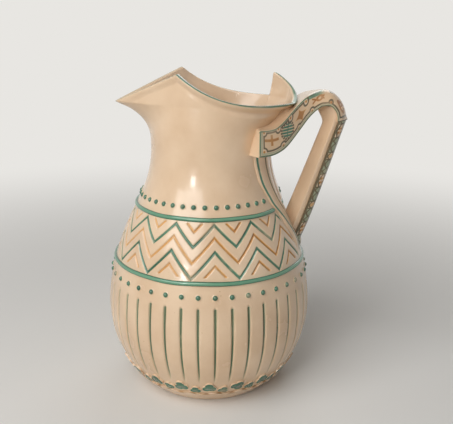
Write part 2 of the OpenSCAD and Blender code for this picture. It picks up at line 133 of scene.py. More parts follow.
def pick(*pieces):
    """Selects these pieces alone and makes the first of them active."""
    bpy.ops.object.select_all(action="DESELECT")
    for piece in pieces:
        piece.select_set(True)
    bpy.context.view_layer.objects.active = pieces[0]


def finish_piece(piece, material, slot, *nodes):
    """Shades a finished piece, gives it its glaze and lets it stand for its CAD nodes."""
    pick(piece)
    bpy.ops.object.shade_smooth_by_angle(angle=SHARP_TURN)
    piece.data.materials.clear()
    piece.data.materials.append(material)
    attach(piece, "root")
    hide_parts(*nodes)


def srgb(red, green, blue):
    """A colour as it looks on a screen, from 0 to 255, as the share of light that it reflects."""
    share = np.array((red, green, blue)) / 255
    light = np.where(share < 0.04045, share / 12.92, ((share + 0.055) / 1.055) ** 2.4)
    return (*light.tolist(), 1.0)


def ranged(tree, source, from_min=0, from_max=1, to_min=0, to_max=1):
    """Carries a number in a node tree from one range over to another."""
    node = tree.nodes.new("ShaderNodeMapRange")
    for socket, value in (("From Min", from_min), ("From Max", from_max),
                          ("To Min", to_min), ("To Max", to_max)):
        node.inputs[socket].default_value = value
    tree.links.new(source, node.inputs["Value"])
    return node.outputs["Result"]


def combined(tree, operation, first, second):
    """Makes two numbers in a node tree into one, such as by MULTIPLY."""
    node = tree.nodes.new("ShaderNodeMath")
    node.operation = operation
    tree.links.new(first, node.inputs[0])
    tree.links.new(second, node.inputs[1])
    return node.outputs["Value"]


# Name, scale, detail and range of each of the noises that cloud and pit a glaze
GLAZE_NOISES = (("Tone", 38, 4, 0.3, 0.7), ("Pinholes", 520, 1, 0.79, 0.86),
                ("Worn", 70, 3, 0.55, 0.72), ("Ripple", 85, 2, 0, 1))
ROUGH_SPREAD = 0.08


def glaze_mottle_group():
    """What every glaze on the jug shares: cloudy tone, pinholes, worn stretches, a rippled skin, and a
    roughness that goes with the tone, up from the smoothest that the glaze has."""
    group = bpy.data.node_groups.new("glaze_mottle", "ShaderNodeTree")
    group.interface.new_socket("Smoothest", in_out="INPUT", socket_type="NodeSocketFloat")
    smoothest = group.nodes.new("NodeGroupInput").outputs["Smoothest"]
    place = group.nodes.new("ShaderNodeTexCoord")
    out = group.nodes.new("NodeGroupOutput")
    clouds = {}
    for name, scale, detail, low, high in GLAZE_NOISES:
        group.interface.new_socket(name, in_out="OUTPUT", socket_type="NodeSocketFloat")
        noise = group.nodes.new("ShaderNodeTexNoise")
        noise.inputs["Scale"].default_value = scale
        noise.inputs["Detail"].default_value = detail
        group.links.new(place.outputs["Object"], noise.inputs["Vector"])
        clouds[name] = ranged(group, noise.outputs["Fac"], low, high)
        group.links.new(clouds[name], out.inputs[name])
    group.interface.new_socket("Roughness", in_out="OUTPUT", socket_type="NodeSocketFloat")
    rougher = ranged(group, clouds["Tone"], to_max=ROUGH_SPREAD)
    group.links.new(combined(group, "ADD", smoothest, rougher), out.inputs["Roughness"])
    return group


GLAZE_MOTTLE = glaze_mottle_group()
PINHOLE = srgb(176, 142, 106)
GLAZE_ROUGH = 0.2
THIN_COVER = 0.6
WORN_COVER = 0.6
PALE_DEPTH = 0.5
RIPPLE_STRENGTH = 0.12
RIPPLE_DEPTH = 0.002
COAT = 0.5
COAT_ROUGH = 0.09


def glaze(name, pale, deep, accents=(), rough=GLAZE_ROUGH):
    """A glossy glaze whose ground clouds from pale to deep. Coloured glazes lie on it where the
    piece's own attributes say, thin and pale at their edges and worn here and there."""
    material = bpy.data.materials.new(name)
    material.use_nodes = True
    tree = material.node_tree
    shader = tree.nodes["Principled BSDF"]
    mottle = tree.nodes.new("ShaderNodeGroup")
    mottle.node_tree = GLAZE_MOTTLE
    mottle.inputs["Smoothest"].default_value = rough
    tone = mottle.outputs["Tone"]

    def mix(share, first, second):
        node = tree.nodes.new("ShaderNodeMix")
        node.data_type = "RGBA"
        tree.links.new(share, node.inputs["Factor"])
        sockets = [s for s in node.inputs if s.type == "RGBA"]
        for socket, value in zip(sockets, (first, second)):
            if isinstance(value, tuple):
                socket.default_value = value
            else:
                tree.links.new(value, socket)
        return [s for s in node.outputs if s.type == "RGBA"][0]

    colour = mix(tone, pale, deep)
    for attribute, thin, thick in accents:
        mask = tree.nodes.new("ShaderNodeAttribute")
        mask.attribute_name = attribute
        amount = mask.outputs["Fac"]
        depth = combined(tree, "MULTIPLY", amount, ranged(tree, tone, to_min=PALE_DEPTH))
        left = ranged(tree, mottle.outputs["Worn"], to_min=1, to_max=WORN_COVER)
        cover = combined(tree, "MULTIPLY", ranged(tree, amount, from_max=THIN_COVER), left)
        colour = mix(cover, colour, mix(depth, thin, thick))
    tree.links.new(mix(mottle.outputs["Pinholes"], colour, PINHOLE), shader.inputs["Base Color"])
    tree.links.new(mottle.outputs["Roughness"], shader.inputs["Roughness"])
    bump = tree.nodes.new("ShaderNodeBump")
    bump.inputs["Strength"].default_value = RIPPLE_STRENGTH
    bump.inputs["Distance"].default_value = RIPPLE_DEPTH
    tree.links.new(mottle.outputs["Ripple"], bump.inputs["Height"])
    tree.links.new(bump.outputs["Normal"], shader.inputs["Normal"])
    shader.inputs["Coat Weight"].default_value = COAT
    shader.inputs["Coat Roughness"].default_value = COAT_ROUGH
    return material


CREAM_PALE = srgb(230, 202, 170)
CREAM_DEEP = srgb(215, 183, 149)
CREAM_GLAZE = glaze("cream_glaze", CREAM_PALE, CREAM_DEEP)

foot_outline = [(floor_r, foot_h)]
foot_outline += arc(floor_r + FOOT_EDGE, FOOT_EDGE, FOOT_EDGE, 180, 270, CORNER_POINTS)
foot_outline += arc(FOOT_R - FOOT_EDGE, FOOT_EDGE, FOOT_EDGE, -90, 0, CORNER_POINTS)
foot_outline += wall_line(2 * FOOT_EDGE, foot_h, FOOT_ROWS)
foot = turn_on_wheel("foot", foot_outline, WHEEL_STEPS)
finish_piece(foot, CREAM_GLAZE, "cream_glaze", "foot_ring")

# Floor of the jug: a disc of the same clay inside the foot ring, glazed inside and out.
# Its solid is plain and round already, so it only takes the cream glaze.
base_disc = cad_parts["base_disc"]
base_disc.data.materials.clear()
base_disc.data.materials.append(CREAM_GLAZE)

# Belly: the full lower wall, thrown round and pressed with flutes while soft. Each flute is a
# groove with a round head, flooded with green glaze, and the panels between them are crowned.
FLUTES = 40
FLUTE_COLUMNS = 18
FLUTE_CROWD = 1.8
FIRST_FLUTE_TURN = -86.9
FLUTE_TOP_Z = 0.074
FLUTE_LOW_Z = 0.0205
FLUTE_FADE = 0.008
FLUTE_W_TOP = 0.0025
FLUTE_W_LOW = 0.0015
FLUTE_DEPTH = 0.0009
FLUTE_FLOOR = 0.35
FLUTE_UMBER = 0.25
PANEL_CROWN = 0.0004
CROWN_POWER = 5
BELLY_ROWS = (96, 12)
# Shares of a flute's half width where its green starts and is full, and how much of it is lost below
FLUTE_GLAZE = (0.7, 0.3)
LOW_GLAZE_LOSS = 0.5
GREEN_THIN = srgb(108, 158, 126)
GREEN_THICK = srgb(24, 82, 58)
OCHRE_THIN = srgb(232, 172, 78)
OCHRE_THICK = srgb(148, 82, 30)
UMBER_THIN = srgb(130, 110, 74)
UMBER_THICK = srgb(70, 62, 36)
PAINTED_GLAZE = glaze("painted_cream_glaze", CREAM_PALE, CREAM_DEEP, (
    ("ochre", OCHRE_THIN, OCHRE_THICK), ("green", GREEN_THIN, GREEN_THICK),
    ("umber", UMBER_THIN, UMBER_THICK)))


def smooth_step(low, high, value):
    """0 below low, 1 above high, and a soft rise between."""
    t = np.clip((np.asarray(value, float) - low) / (high - low), 0, 1)
    return t * t * (3 - 2 * t)


def from_nearest(value, step):
    """Distance to the nearest whole step, in steps, from -0.5 to 0.5."""
    return value / step - np.round(value / step)


def points_of(piece):
    """The points of a piece, as a row for each of x, y and z."""
    flat = np.empty(3 * len(piece.data.vertices))
    piece.data.vertices.foreach_get("co", flat)
    return flat.reshape(-1, 3).T


def polar_points_of(piece):
    """The points of a piece, as distances from the axis, turns in radians and heights."""
    x, y, z = points_of(piece)
    return np.hypot(x, y), np.arctan2(y, x), z


def polar(r, turn, z):
    """Points at distances from the axis, turns in radians and heights, as x, y and z."""
    return r * np.cos(turn), r * np.sin(turn), z


def place_points(piece, x, y, z):
    """Moves every point of a piece."""
    piece.data.vertices.foreach_set("co", np.column_stack((x, y, z)).ravel())
    piece.data.update()


def paint(piece, attribute, amounts):
    """Keeps how much of a glaze lies on each point of a piece."""
    layer = piece.data.attributes.new(attribute, "FLOAT", "POINT")
    layer.data.foreach_set("value", np.asarray(amounts, np.float32))


def press(piece, depths):
    """Presses each point of a piece into its wall by a depth, along the wall's normal."""
    deepest = float(np.max(depths))
    group = piece.vertex_groups.new(name="pressed")
    for i in np.flatnonzero(depths > MERGE):
        group.add([int(i)], float(depths[i]) / deepest, "REPLACE")
    pick(piece)
    stamp = piece.modifiers.new("stamp", "DISPLACE")
    stamp.mid_level = 0
    stamp.strength = -deepest
    stamp.vertex_group = group.name
    bpy.ops.object.modifier_apply(modifier=stamp.name)
    piece.vertex_groups.clear()


def wall_outline(low_z, high_z, rows, inner_rows):
    """A stretch of the body's wall as a closed outline: up the outside and down the inside."""
    return wall_line(low_z, high_z, rows) + wall_line(high_z, low_z, inner_rows, WALL)


belly_outline = wall_outline(foot_h, lower_cord_z, *BELLY_ROWS)
belly = turn_on_wheel("fluted_belly", belly_outline, FLUTES * FLUTE_COLUMNS)
r, turn, z = polar_points_of(belly)
pitch = math.tau / FLUTES
off = from_nearest(turn, pitch)
crowded = np.sign(off) * np.abs(2 * off) ** FLUTE_CROWD / 2
turn = (np.round(turn / pitch) + crowded) * pitch + math.radians(FIRST_FLUTE_TURN)
place_points(belly, *polar(r, turn, z))
down = smooth_step(FLUTE_TOP_Z, FLUTE_LOW_Z, z)
half = (FLUTE_W_TOP + (FLUTE_W_LOW - FLUTE_W_TOP) * down) / 2
across = np.abs(crowded) * pitch * r
away = np.hypot(across, np.maximum(0, z - (FLUTE_TOP_Z - half))) / half
lasting = smooth_step(FLUTE_LOW_Z, FLUTE_LOW_Z + FLUTE_FADE, z) * (r > body_r(z) - WALL / 2)
crown = (1 - 2 * np.abs(crowded)) ** CROWN_POWER * smooth_step(FLUTE_TOP_Z, FLUTE_TOP_Z - FLUTE_FADE, z)
flute_green = smooth_step(*FLUTE_GLAZE, away) * lasting * (1 - LOW_GLAZE_LOSS * down**2)
paint(belly, "green", flute_green)
paint(belly, "umber", FLUTE_UMBER * flute_green)
press(belly, (FLUTE_DEPTH * smooth_step(1, FLUTE_FLOOR, away) + PANEL_CROWN * crown) * lasting)
finish_piece(belly, PAINTED_GLAZE, "cream_glaze", "belly")

# Lower cord: a round bead of clay laid over the join of belly and shoulder, under green glaze.
# Its crest is painted paler than the rest: partly thin glaze, partly a painted highlight along the cord.
CORD_OUT = 0.0014
CORD_TALL = 0.0028
CORD_SIDES = 14
CORD_WOBBLE = 0.00012
LOWER_CORD_WAVES = (7, 11)
CORD_WRAP = 100
# Share of the cord's reach from the wall where the paler crest, partly painted highlight, starts
CORD_CREST_SHEEN = 0.6
CORD_ROUGH = 0.16
GREEN_MID = srgb(58, 124, 96)
# Its crest accent is partly thin glaze and partly a painted highlight along the cords
GREEN_GLAZE = glaze("green_glaze", GREEN_MID, GREEN_THICK, (("crest", GREEN_MID, GREEN_THIN),), CORD_ROUGH)


def wall_lean(z, step=CORD_TALL):
    """How far the wall leans back from upright at the heights z, in radians."""
    return np.arctan((body_r(z - step) - body_r(z + step)) / (2 * step))


def off_wall(z, out, up, step=CORD_TALL):
    """Distances from the axis and heights of points out from the wall at the heights z and up along it."""
    lean = wall_lean(z, step)
    return body_r(z) + out * np.cos(lean) - up * np.sin(lean), z + out * np.sin(lean) + up * np.cos(lean)


around = np.radians(np.linspace(-CORD_WRAP, CORD_WRAP, CORD_SIDES + 1))
cord_section = off_wall(lower_cord_z, CORD_OUT * np.cos(around), CORD_TALL / 2 * np.sin(around))
lower_cord = turn_on_wheel("lower_cord_moulding", np.column_stack(cord_section).tolist(), WHEEL_STEPS)
r, turn, z = polar_points_of(lower_cord)
# The paler crest: partly thin glaze, partly a painted highlight
paint(lower_cord, "crest", smooth_step(CORD_CREST_SHEEN, 1, (r - body_r(z)) / CORD_OUT))
sway = CORD_WOBBLE * sum(np.sin(waves * turn + i) for i, waves in enumerate(LOWER_CORD_WAVES))
place_points(lower_cord, *polar(r, turn, z + sway))
finish_piece(lower_cord, GREEN_GLAZE, "green_glaze", "lower_cord")

# Shoulder: the wall between the two cords, stamped with a band of chevrons. Three zigzag grooves,
# green, ochre and green, run round it, with an ochre V in each notch above and below.
CHEVRONS = 13
CHEVRON_COLUMNS = 66
FIRST_PEAK_TURN = -86.5
LINE_DEPTH = 0.0009
LINE_EDGE = 0.0006
# Glaze, height of the peaks and of the valleys, lowest and highest point, and width of each zigzag
ZIGZAGS = (
    ("ochre", 0.1282, 0.1160, 0.1150, 0.1203, 0.0012),
    ("green", 0.1200, 0.1078, 0.1060, 0.1215, 0.0015),
    ("ochre", 0.1130, 0.0990, 0.0980, 0.1140, 0.0013),
    ("green", 0.1053, 0.0903, 0.0890, 0.1060, 0.0015),
    ("ochre", 0.0978, 0.0830, 0.0916, 0.0985, 0.0012),
)
# Shares of a line's width from its middle where its groove and its glaze start and are full
LINE_GROOVE = (0.75, 0.2)
LINE_GLAZE = (0.6, 0.32)
SPOUT_OCHRE = 0.5
SHOULDER_ROWS = (92, 8)
STRAP_W = 0.020
STRAP_FOOT_W = 0.008
STRAP_CLEAR = 0.0015
BAND_W = 0.018
# At equal steps down a strap: its inner edge as a share of the pillar band's half width, and the
# share of the way from its full width to its foot's width
STRAP_SHARES = np.array(((0.96, 0), (0.96, 0.05), (1.0, 0.3), (1.04, 0.65), (1.06, 1)))
strap_low_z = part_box("right_strap")[0].z
strap_top_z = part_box("right_strap")[1].z


def strap_edges(z):
    """Turns of a strap's inner and outer edge from the handle's plane at the heights z, in radians."""
    t = np.clip((strap_top_z - z) / (strap_top_z - strap_low_z), 0, 1) * (len(STRAP_SHARES) - 1)
    i = np.minimum(t.astype(int), len(STRAP_SHARES) - 2)
    ease = smooth_step(0, 1, t - i)
    inner, narrow = (STRAP_SHARES[i] * (1 - ease)[:, None] + STRAP_SHARES[i + 1] * ease[:, None]).T
    first = np.arcsin(inner * BAND_W / 2 / body_r(z))
    return first, first + (STRAP_W + (STRAP_FOOT_W - STRAP_W) * narrow) / body_r(z)


def span_mark(value, low, high, fade, inner_fade=0):
    """1 between low and high, and 0 beyond a soft edge at each of them."""
    above_low = smooth_step(low - fade, low + inner_fade, value)
    return above_low * smooth_step(high + fade, high - inner_fade, value)


shoulder_outline = wall_outline(lower_cord_z, shoulder_z, *SHOULDER_ROWS)
shoulder = turn_on_wheel("chevron_shoulder", shoulder_outline, CHEVRONS * CHEVRON_COLUMNS)
r, turn, z = polar_points_of(shoulder)
run = np.hypot(1, (body_r(z + LINE_EDGE) - body_r(z - LINE_EDGE)) / (2 * LINE_EDGE))
wave = 1 - 4 * np.abs(from_nearest(np.degrees(turn) - FIRST_PEAK_TURN, 360 / CHEVRONS))
beside_strap = (np.abs(turn) - strap_edges(z)[1]) * r - STRAP_CLEAR
open_wall = smooth_step(0, LINE_EDGE, beside_strap) * (r > body_r(z) - WALL / 2)
lines = {"green": np.zeros_like(z), "ochre": np.zeros_like(z)}
grooves = np.zeros_like(z)
for colour, peak_z, valley_z, low_z, high_z, width in ZIGZAGS:
    tall = peak_z - valley_z
    steepness = tall * run / (math.pi / CHEVRONS * body_r(z))
    line_z = (peak_z + valley_z + tall * wave) / 2
    away = np.abs(z - line_z) * run / np.hypot(1, steepness) / width
    within = span_mark(z, low_z, high_z, LINE_EDGE) * open_wall
    grooves = np.maximum(grooves, smooth_step(*LINE_GROOVE, away) * within)
    lines[colour] = np.maximum(lines[colour], smooth_step(*LINE_GLAZE, away) * within)
lines["ochre"] *= SPOUT_OCHRE + (1 - SPOUT_OCHRE) * smooth_step(-NECK_R / 2, NECK_R, r * np.cos(turn))
for colour, amounts in lines.items():
    paint(shoulder, colour, amounts)
press(shoulder, LINE_DEPTH * grooves)
finish_piece(shoulder, PAINTED_GLAZE, "cream_glaze", "shoulder")

# Upper cord: the same green cord at the root of the neck. It stops, with round ends, at the two
# straps of the handle, and a short piece of it shows again between them.
ARC_STEPS = 320
UPPER_CORD_WAVES = 9
CORD_END = 0.0004


def wrap_grid(name, across, along, place, paints=None):
    """Wraps a flat grid into a piece. place turns the two shares of the way across and along it
    into points, and paints gives the amounts of glaze there. The seams and ends are then closed."""
    bpy.ops.mesh.primitive_grid_add(x_subdivisions=across, y_subdivisions=along, size=1)
    piece = bpy.context.object
    piece.name = piece.data.name = name
    u, v, _ = points_of(piece) + 0.5
    for attribute, amounts in (paints(u, v) if paints else {}).items():
        paint(piece, attribute, amounts)
    place_points(piece, *place(u, v))
    bpy.ops.object.mode_set(mode="EDIT")
    bpy.ops.mesh.select_all(action="SELECT")
    bpy.ops.mesh.remove_doubles(threshold=MERGE)
    bpy.ops.mesh.fill_holes(sides=0)
    close_up()
    return piece


def join_pieces(name, pieces):
    """Joins pieces into one object and keeps its place in its mesh."""
    pick(*pieces)
    bpy.ops.object.join()
    joined = bpy.context.object
    bpy.ops.object.transform_apply(location=True, rotation=True, scale=True)
    joined.name = joined.data.name = name
    return joined


def cord_arc(name, z, from_turn, to_turn):
    """A length of cord on the wall at a height, with round ends."""
    def place(u, v):
        angle = math.tau * u
        turn = from_turn + (to_turn - from_turn) * v
        from_end = np.minimum(np.minimum(turn - from_turn, to_turn - turn) * body_r(z) / CORD_OUT, 1)
        full = np.sqrt(np.clip(1 - (1 - from_end) ** 2, CORD_END, 1))
        r, high = off_wall(z, CORD_OUT * np.cos(angle) * full, CORD_TALL / 2 * np.sin(angle) * full)
        return polar(r, turn, high + CORD_WOBBLE * np.sin(UPPER_CORD_WAVES * turn))

    def paints(u, v):
        # The paler crest: partly thin glaze, partly a painted highlight along the cord
        return {"crest": smooth_step(CORD_CREST_SHEEN, 1, np.cos(math.tau * u))}

    return wrap_grid(name, 2 * CORD_SIDES, ARC_STEPS, place, paints)


first, last = (float(edge[0]) for edge in strap_edges(np.array([shoulder_z])))
cord_gap = STRAP_CLEAR / SHOULDER_R
upper_cord = join_pieces("upper_cord_moulding", [
    cord_arc("upper_cord_main", shoulder_z, last + cord_gap, math.tau - last - cord_gap),
    cord_arc("upper_cord_back", shoulder_z, -first + cord_gap, first - cord_gap)])
finish_piece(upper_cord, GREEN_GLAZE, "green_glaze", "upper_cord")

# Beads: small domes of clay pressed onto the wall in two rows, above the upper cord and below the
# lower one, under green glaze. Each sits on a pale collar where the slip was squeezed out.
BEAD_R = 0.0014
BEAD_TALL = 0.0012
BEAD_SUNK = 0.0006
COLLAR_W = 0.0003
COLLAR_TALL = 0.0003
BEAD_SEGMENTS, BEAD_RINGS = 24, 16
# Shares of a bead's radius where its green starts and is full
BEAD_GLAZE = (1.1, 0.95)
BACK_SWELL = 0.0023
SWELL_AT_BEADS = 0.6
UPPER_BEADS = 41
FIRST_BEAD_SHARE = 0.25
upper_bead_z = sum(corner.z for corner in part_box("upper_beads")) / 2
lower_bead_z = sum(corner.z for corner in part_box("lower_beads")) / 2


def on_body(turn, z):
    """A place on the wall at a turn in degrees and a height, with Z pointing out and X down."""
    return (Matrix.Rotation(math.radians(turn), 4, "Z") @ Matrix.Translation((float(body_r(z)), 0, z))
            @ Matrix.Rotation(math.pi / 2 - float(wall_lean(z)), 4, "Y"))


def bead_model():
    """One bead with its collar, at the origin."""
    bpy.ops.mesh.primitive_uv_sphere_add(segments=BEAD_SEGMENTS, ring_count=BEAD_RINGS, radius=BEAD_R)
    bead = bpy.context.object
    bpy.ops.object.mode_set(mode="EDIT")
    bpy.ops.mesh.select_all(action="SELECT")
    bpy.ops.mesh.bisect(plane_co=(0, 0, 0), plane_no=(0, 0, 1), clear_inner=True, use_fill=False)
    bpy.ops.mesh.select_all(action="SELECT")
    bpy.ops.transform.resize(value=(1, 1, BEAD_TALL / BEAD_R), center_override=(0, 0, 0))
    bpy.ops.transform.translate(value=(0, 0, COLLAR_TALL))
    bpy.ops.mesh.select_all(action="DESELECT")
    bpy.ops.mesh.select_non_manifold()
    spread = 1 + COLLAR_W / BEAD_R
    for size, drop in ((spread, 0), (spread, -COLLAR_TALL), (1, -BEAD_SUNK)):
        bpy.ops.mesh.extrude_region_move(TRANSFORM_OT_translate={"value": (0, 0, 0)})
        bpy.ops.transform.resize(value=(size, size, 1))
        bpy.ops.transform.translate(value=(0, 0, drop))
    bpy.ops.mesh.edge_face_add()
    close_up()
    x, y, z = points_of(bead)
    green = smooth_step(*BEAD_GLAZE, np.hypot(x, y) / BEAD_R) * (z > COLLAR_TALL / 2)
    paint(bead, "green", green)
    return bead


def unwound(turn):
    """Turns in degrees, brought to between -180 and 180."""
    return 360 * from_nearest(turn, 360)


def copies_on_wall(name, model, places):
    """Copies of a model at each place, joined into one piece. The model itself is used up."""
    copies = []
    for place in places:
        copy = model.copy()
        copy.data = model.data.copy()
        copy.matrix_world = place
        bpy.context.scene.collection.objects.link(copy)
        copies.append(copy)
    bpy.data.objects.remove(model)
    return join_pieces(name, copies)


lower_beads = copies_on_wall("lower_bead_row", bead_model(), [
    on_body(FIRST_FLUTE_TURN + 360 * i / FLUTES, lower_bead_z) for i in range(FLUTES)])
finish_piece(lower_beads, PAINTED_GLAZE, "green_glaze", "lower_beads")

bead_step = 360 / UPPER_BEADS
bead_clear = (STRAP_CLEAR + BEAD_R) / float(body_r(upper_bead_z))
first, last = (float(edge[0]) for edge in strap_edges(np.array([upper_bead_z])))
upper_bead_places = []
for i in range(UPPER_BEADS):
    bead_turn = FIRST_FLUTE_TURN + bead_step * (i + FIRST_BEAD_SHARE)
    off_handle = abs(math.radians(unwound(bead_turn)))
    between_straps = off_handle < first - bead_clear
    if between_straps or off_handle > last + bead_clear:
        lift = Matrix.Translation((0, 0, SWELL_AT_BEADS * BACK_SWELL * between_straps))
        upper_bead_places.append(on_body(bead_turn, upper_bead_z) @ lift)
upper_beads = copies_on_wall("upper_bead_row", bead_model(), upper_bead_places)
finish_piece(upper_beads, PAINTED_GLAZE, "green_glaze", "upper_beads")

# Neck and mouth: one wall, thrown as a plain tube and pulled by hand while wet into a spout in
# front and a pointed gable at the back. The lip is rolled, with a green line along its edge.
NECK_COLUMNS = 400
SWELL_TURN = 14
SWELL_FADE = 6
TIP_REACH = 0.0584
TIP_Z = 0.187
PEAK_FRONT = 0.0185
DIP_Z = 0.1875
DIP_BACK = 0.0415
BACK_REACH = 0.0542
SIDE_HALF = 0.036
GABLE_RISE = 0.0148
GABLE_TURN = 27
GABLE_NEAR_SPAN = 38
GABLE_FAR_SPAN = 1.5
GABLE_TIP = 0.04
FAR_RISE = 0.001
GABLE_POWER = 1.2
LIP_H = 0.008
LIP_OUT = 0.0013
LIP_COVE = 0.0009
LIP_ROLL = 0.8
LIP_THIN = 0.0018
GABLE_THIN = 0.0024
CROWD_TURN = 14
TIP_SOFT_TURN = 4
SPOUT_POWER = 3.1
BACK_POWER = 2.2
RIM_SWEEP = 2.7
RIM_LINE_W = 0.0012
# Shares of the rim line's width where its green starts and is full
RIM_GLAZE = (1, 0.5)
RIM_UMBER = 0.12
PEAK_Z = 0.2060
SIDE_POWER = 2
SPOUT_LINE = 0.15
BACK_LINE = 0.5
NECK_ROWS, TUBE_ROWS, LIP_ROWS = 36, 48, 20
LIP_POINTS = 8


def mouth_axes(z):
    """Half width, reach at the back and reach at the spout of the mouth at the heights z."""
    opening = np.clip((z - neck_z) / (TIP_Z - neck_z), 0, 1)
    ways = ((SIDE_HALF, SIDE_POWER), (BACK_REACH, BACK_POWER), (TIP_REACH, SPOUT_POWER))
    return [NECK_R + (reach - NECK_R) * opening**power for reach, power in ways]


def mouth_r(turn, z):
    """Outer radius of the mouth: an oval at the back, and tangents to the spout's tip in front."""
    side, back, tip = mouth_axes(z)
    off = np.abs(unwound(turn))
    oval = 1 / np.hypot(np.cos(np.radians(off)) / back, np.sin(np.radians(off)) / side)
    from_tip = np.hypot(180 - off, TIP_SOFT_TURN)
    tangent = np.degrees(np.arccos(np.minimum(1, side / np.maximum(tip, side))))
    bend = np.radians(np.maximum(0, tangent + TIP_SOFT_TURN - from_tip))
    return np.where(off < 90, oval, side / np.cos(bend))


def rim_z(turn):
    """Height of the rim at the turns from the handle, in degrees."""
    x, y, _ = polar(mouth_r(turn, np.full_like(turn, TIP_Z)), np.radians(turn), 0)
    spout = TIP_Z + (PEAK_Z - TIP_Z) * (x + TIP_REACH) / (TIP_REACH - PEAK_FRONT)
    sweep = np.maximum(0, (DIP_BACK - x) / (DIP_BACK + PEAK_FRONT)) ** RIM_SWEEP
    off = unwound(turn) - GABLE_TURN
    off = off / np.where(off < 0, GABLE_NEAR_SPAN, GABLE_FAR_SPAN)
    gable = (np.clip(1 - np.hypot(off, GABLE_TIP), 0, 1) / (1 - GABLE_TIP)) ** GABLE_POWER
    far = FAR_RISE * smooth_step(0, SIDE_HALF / 2, y) * smooth_step(-PEAK_FRONT, PEAK_FRONT, x)
    return np.where(x < -PEAK_FRONT, spout, DIP_Z + (PEAK_Z - DIP_Z) * sweep + far + GABLE_RISE * gable)


under_lip = TIP_Z - LIP_H
edge_r = WALL / 4
neck_outline = wall_line(shoulder_z, neck_z, NECK_ROWS) + wall_line(neck_z, under_lip, TUBE_ROWS)[1:]
for s in np.linspace(0, 1, LIP_ROWS + 1)[1:].tolist():
    bulge = LIP_OUT * float(smooth_step(LIP_ROLL / 2, 1, s))
    neck_outline.append((NECK_R + bulge, under_lip + (LIP_H - edge_r) * s))
neck_outline += arc(NECK_R + LIP_OUT - edge_r, TIP_Z - edge_r, edge_r, 0, 90, LIP_POINTS)[1:]
neck_outline += arc(NECK_R - WALL + edge_r, TIP_Z - edge_r, edge_r, 90, 180, LIP_POINTS)[1:]
neck_outline += wall_line(under_lip, neck_z, TUBE_ROWS // 2, WALL)
neck_outline += wall_line(neck_z, shoulder_z, NECK_ROWS // 3, WALL)[1:]
neck = turn_on_wheel("neck_and_mouth", neck_outline, NECK_COLUMNS)
r, turn, z = polar_points_of(neck)
x = r * np.cos(turn)
backwards = smooth_step(-PEAK_FRONT, PEAK_FRONT, x)
turn = np.degrees(turn) - CROWD_TURN * np.sin(2 * turn)
rim = rim_z(turn)
pulled_z = np.where(z > under_lip, rim + z - TIP_Z,
                    neck_z + (z - neck_z) * (rim - LIP_H - neck_z) / (under_lip - neck_z))
from_top = np.hypot(TIP_Z - z, r - (NECK_R + LIP_OUT - WALL / 6))
off_spout = smooth_step(-PEAK_FRONT - WALL / 2, -PEAK_FRONT, r * np.cos(np.radians(turn)))
line_w = RIM_LINE_W * (1 + BACK_LINE * smooth_step(0, NECK_R, x))
rim_line = smooth_step(*RIM_GLAZE, from_top / line_w) * (SPOUT_LINE + (1 - SPOUT_LINE) * off_spout)
paint(neck, "green", rim_line)
paint(neck, "umber", RIM_UMBER * rim_line)
swell = smooth_step(SWELL_TURN + SWELL_FADE, SWELL_TURN, np.abs(turn)) * smooth_step(0, WALL, z - shoulder_z)
r = r + BACK_SWELL * swell * smooth_step(under_lip, neck_z, z) * (r > body_r(z) - WALL / 2)
thinned = GABLE_THIN * smooth_step(DIP_Z, DIP_Z + GABLE_RISE / 2, pulled_z) * smooth_step(0, PEAK_FRONT, x)
thinned = np.maximum(thinned, LIP_THIN * smooth_step(under_lip - LIP_H, TIP_Z, z))
up_lip = np.clip((z - under_lip) / (LIP_H * LIP_ROLL), 0, 1)
cove = LIP_COVE * np.sin(math.pi * up_lip) ** 2 * backwards
r = r + thinned * smooth_step(NECK_R, NECK_R - WALL, r) - cove * (r > NECK_R - MERGE)
pulled = z > neck_z
r = np.where(pulled, mouth_r(turn, pulled_z) + r - NECK_R, r)
place_points(neck, *polar(r, np.radians(turn), np.where(pulled, pulled_z, z)))
finish_piece(neck, PAINTED_GLAZE, "cream_glaze", "neck", "mouth")

# Garland: three-lobed leaves on a winding stem round the foot, moulded and luted on. The leaves
# are flooded with green inside a raised pale edge, and the stem is brown.
LEAVES = 40
LEAF_W = 0.0096
SMALL_LEAF = 0.78
LEAF_T = 0.0009
LEAF_SUNK = 0.00045
LEAF_EDGE = 0.0005
LEAF_PALE_SHARE = 0.6
LEAF_DISH = 0.0003
LEAF_Z = 0.0176
LEAF_TILT = 40
LEAF_POINTS = 48
LEAF_WAIST = 0.66
LOBE_COUNT = 3
LOBE_POWER = 0.8
LEAF_SEED = 7
VINE_D = 0.0014
VINE_Z = 0.0105
VINE_WAVES = 20
VINE_SWELL = 0.15
VINE_CREST = (0.3, 1.1)
VINE_SIDES, VINE_WAVE_STEPS = 10, 24
BROWN_PALE = srgb(190, 150, 104)
BROWN_DEEP = srgb(128, 88, 48)
BROWN_GLAZE = glaze("brown_glaze", BROWN_PALE, BROWN_DEEP, (("crest", BROWN_PALE, CREAM_PALE),))


def leaf_lobes(x, y):
    """How far a leaf reaches in the direction of each point, as a share of its half width."""
    turn = np.arctan2(y, x) - math.pi
    return LEAF_WAIST + (1 - LEAF_WAIST) * np.abs(np.cos(LOBE_COUNT / 2 * turn)) ** LOBE_POWER


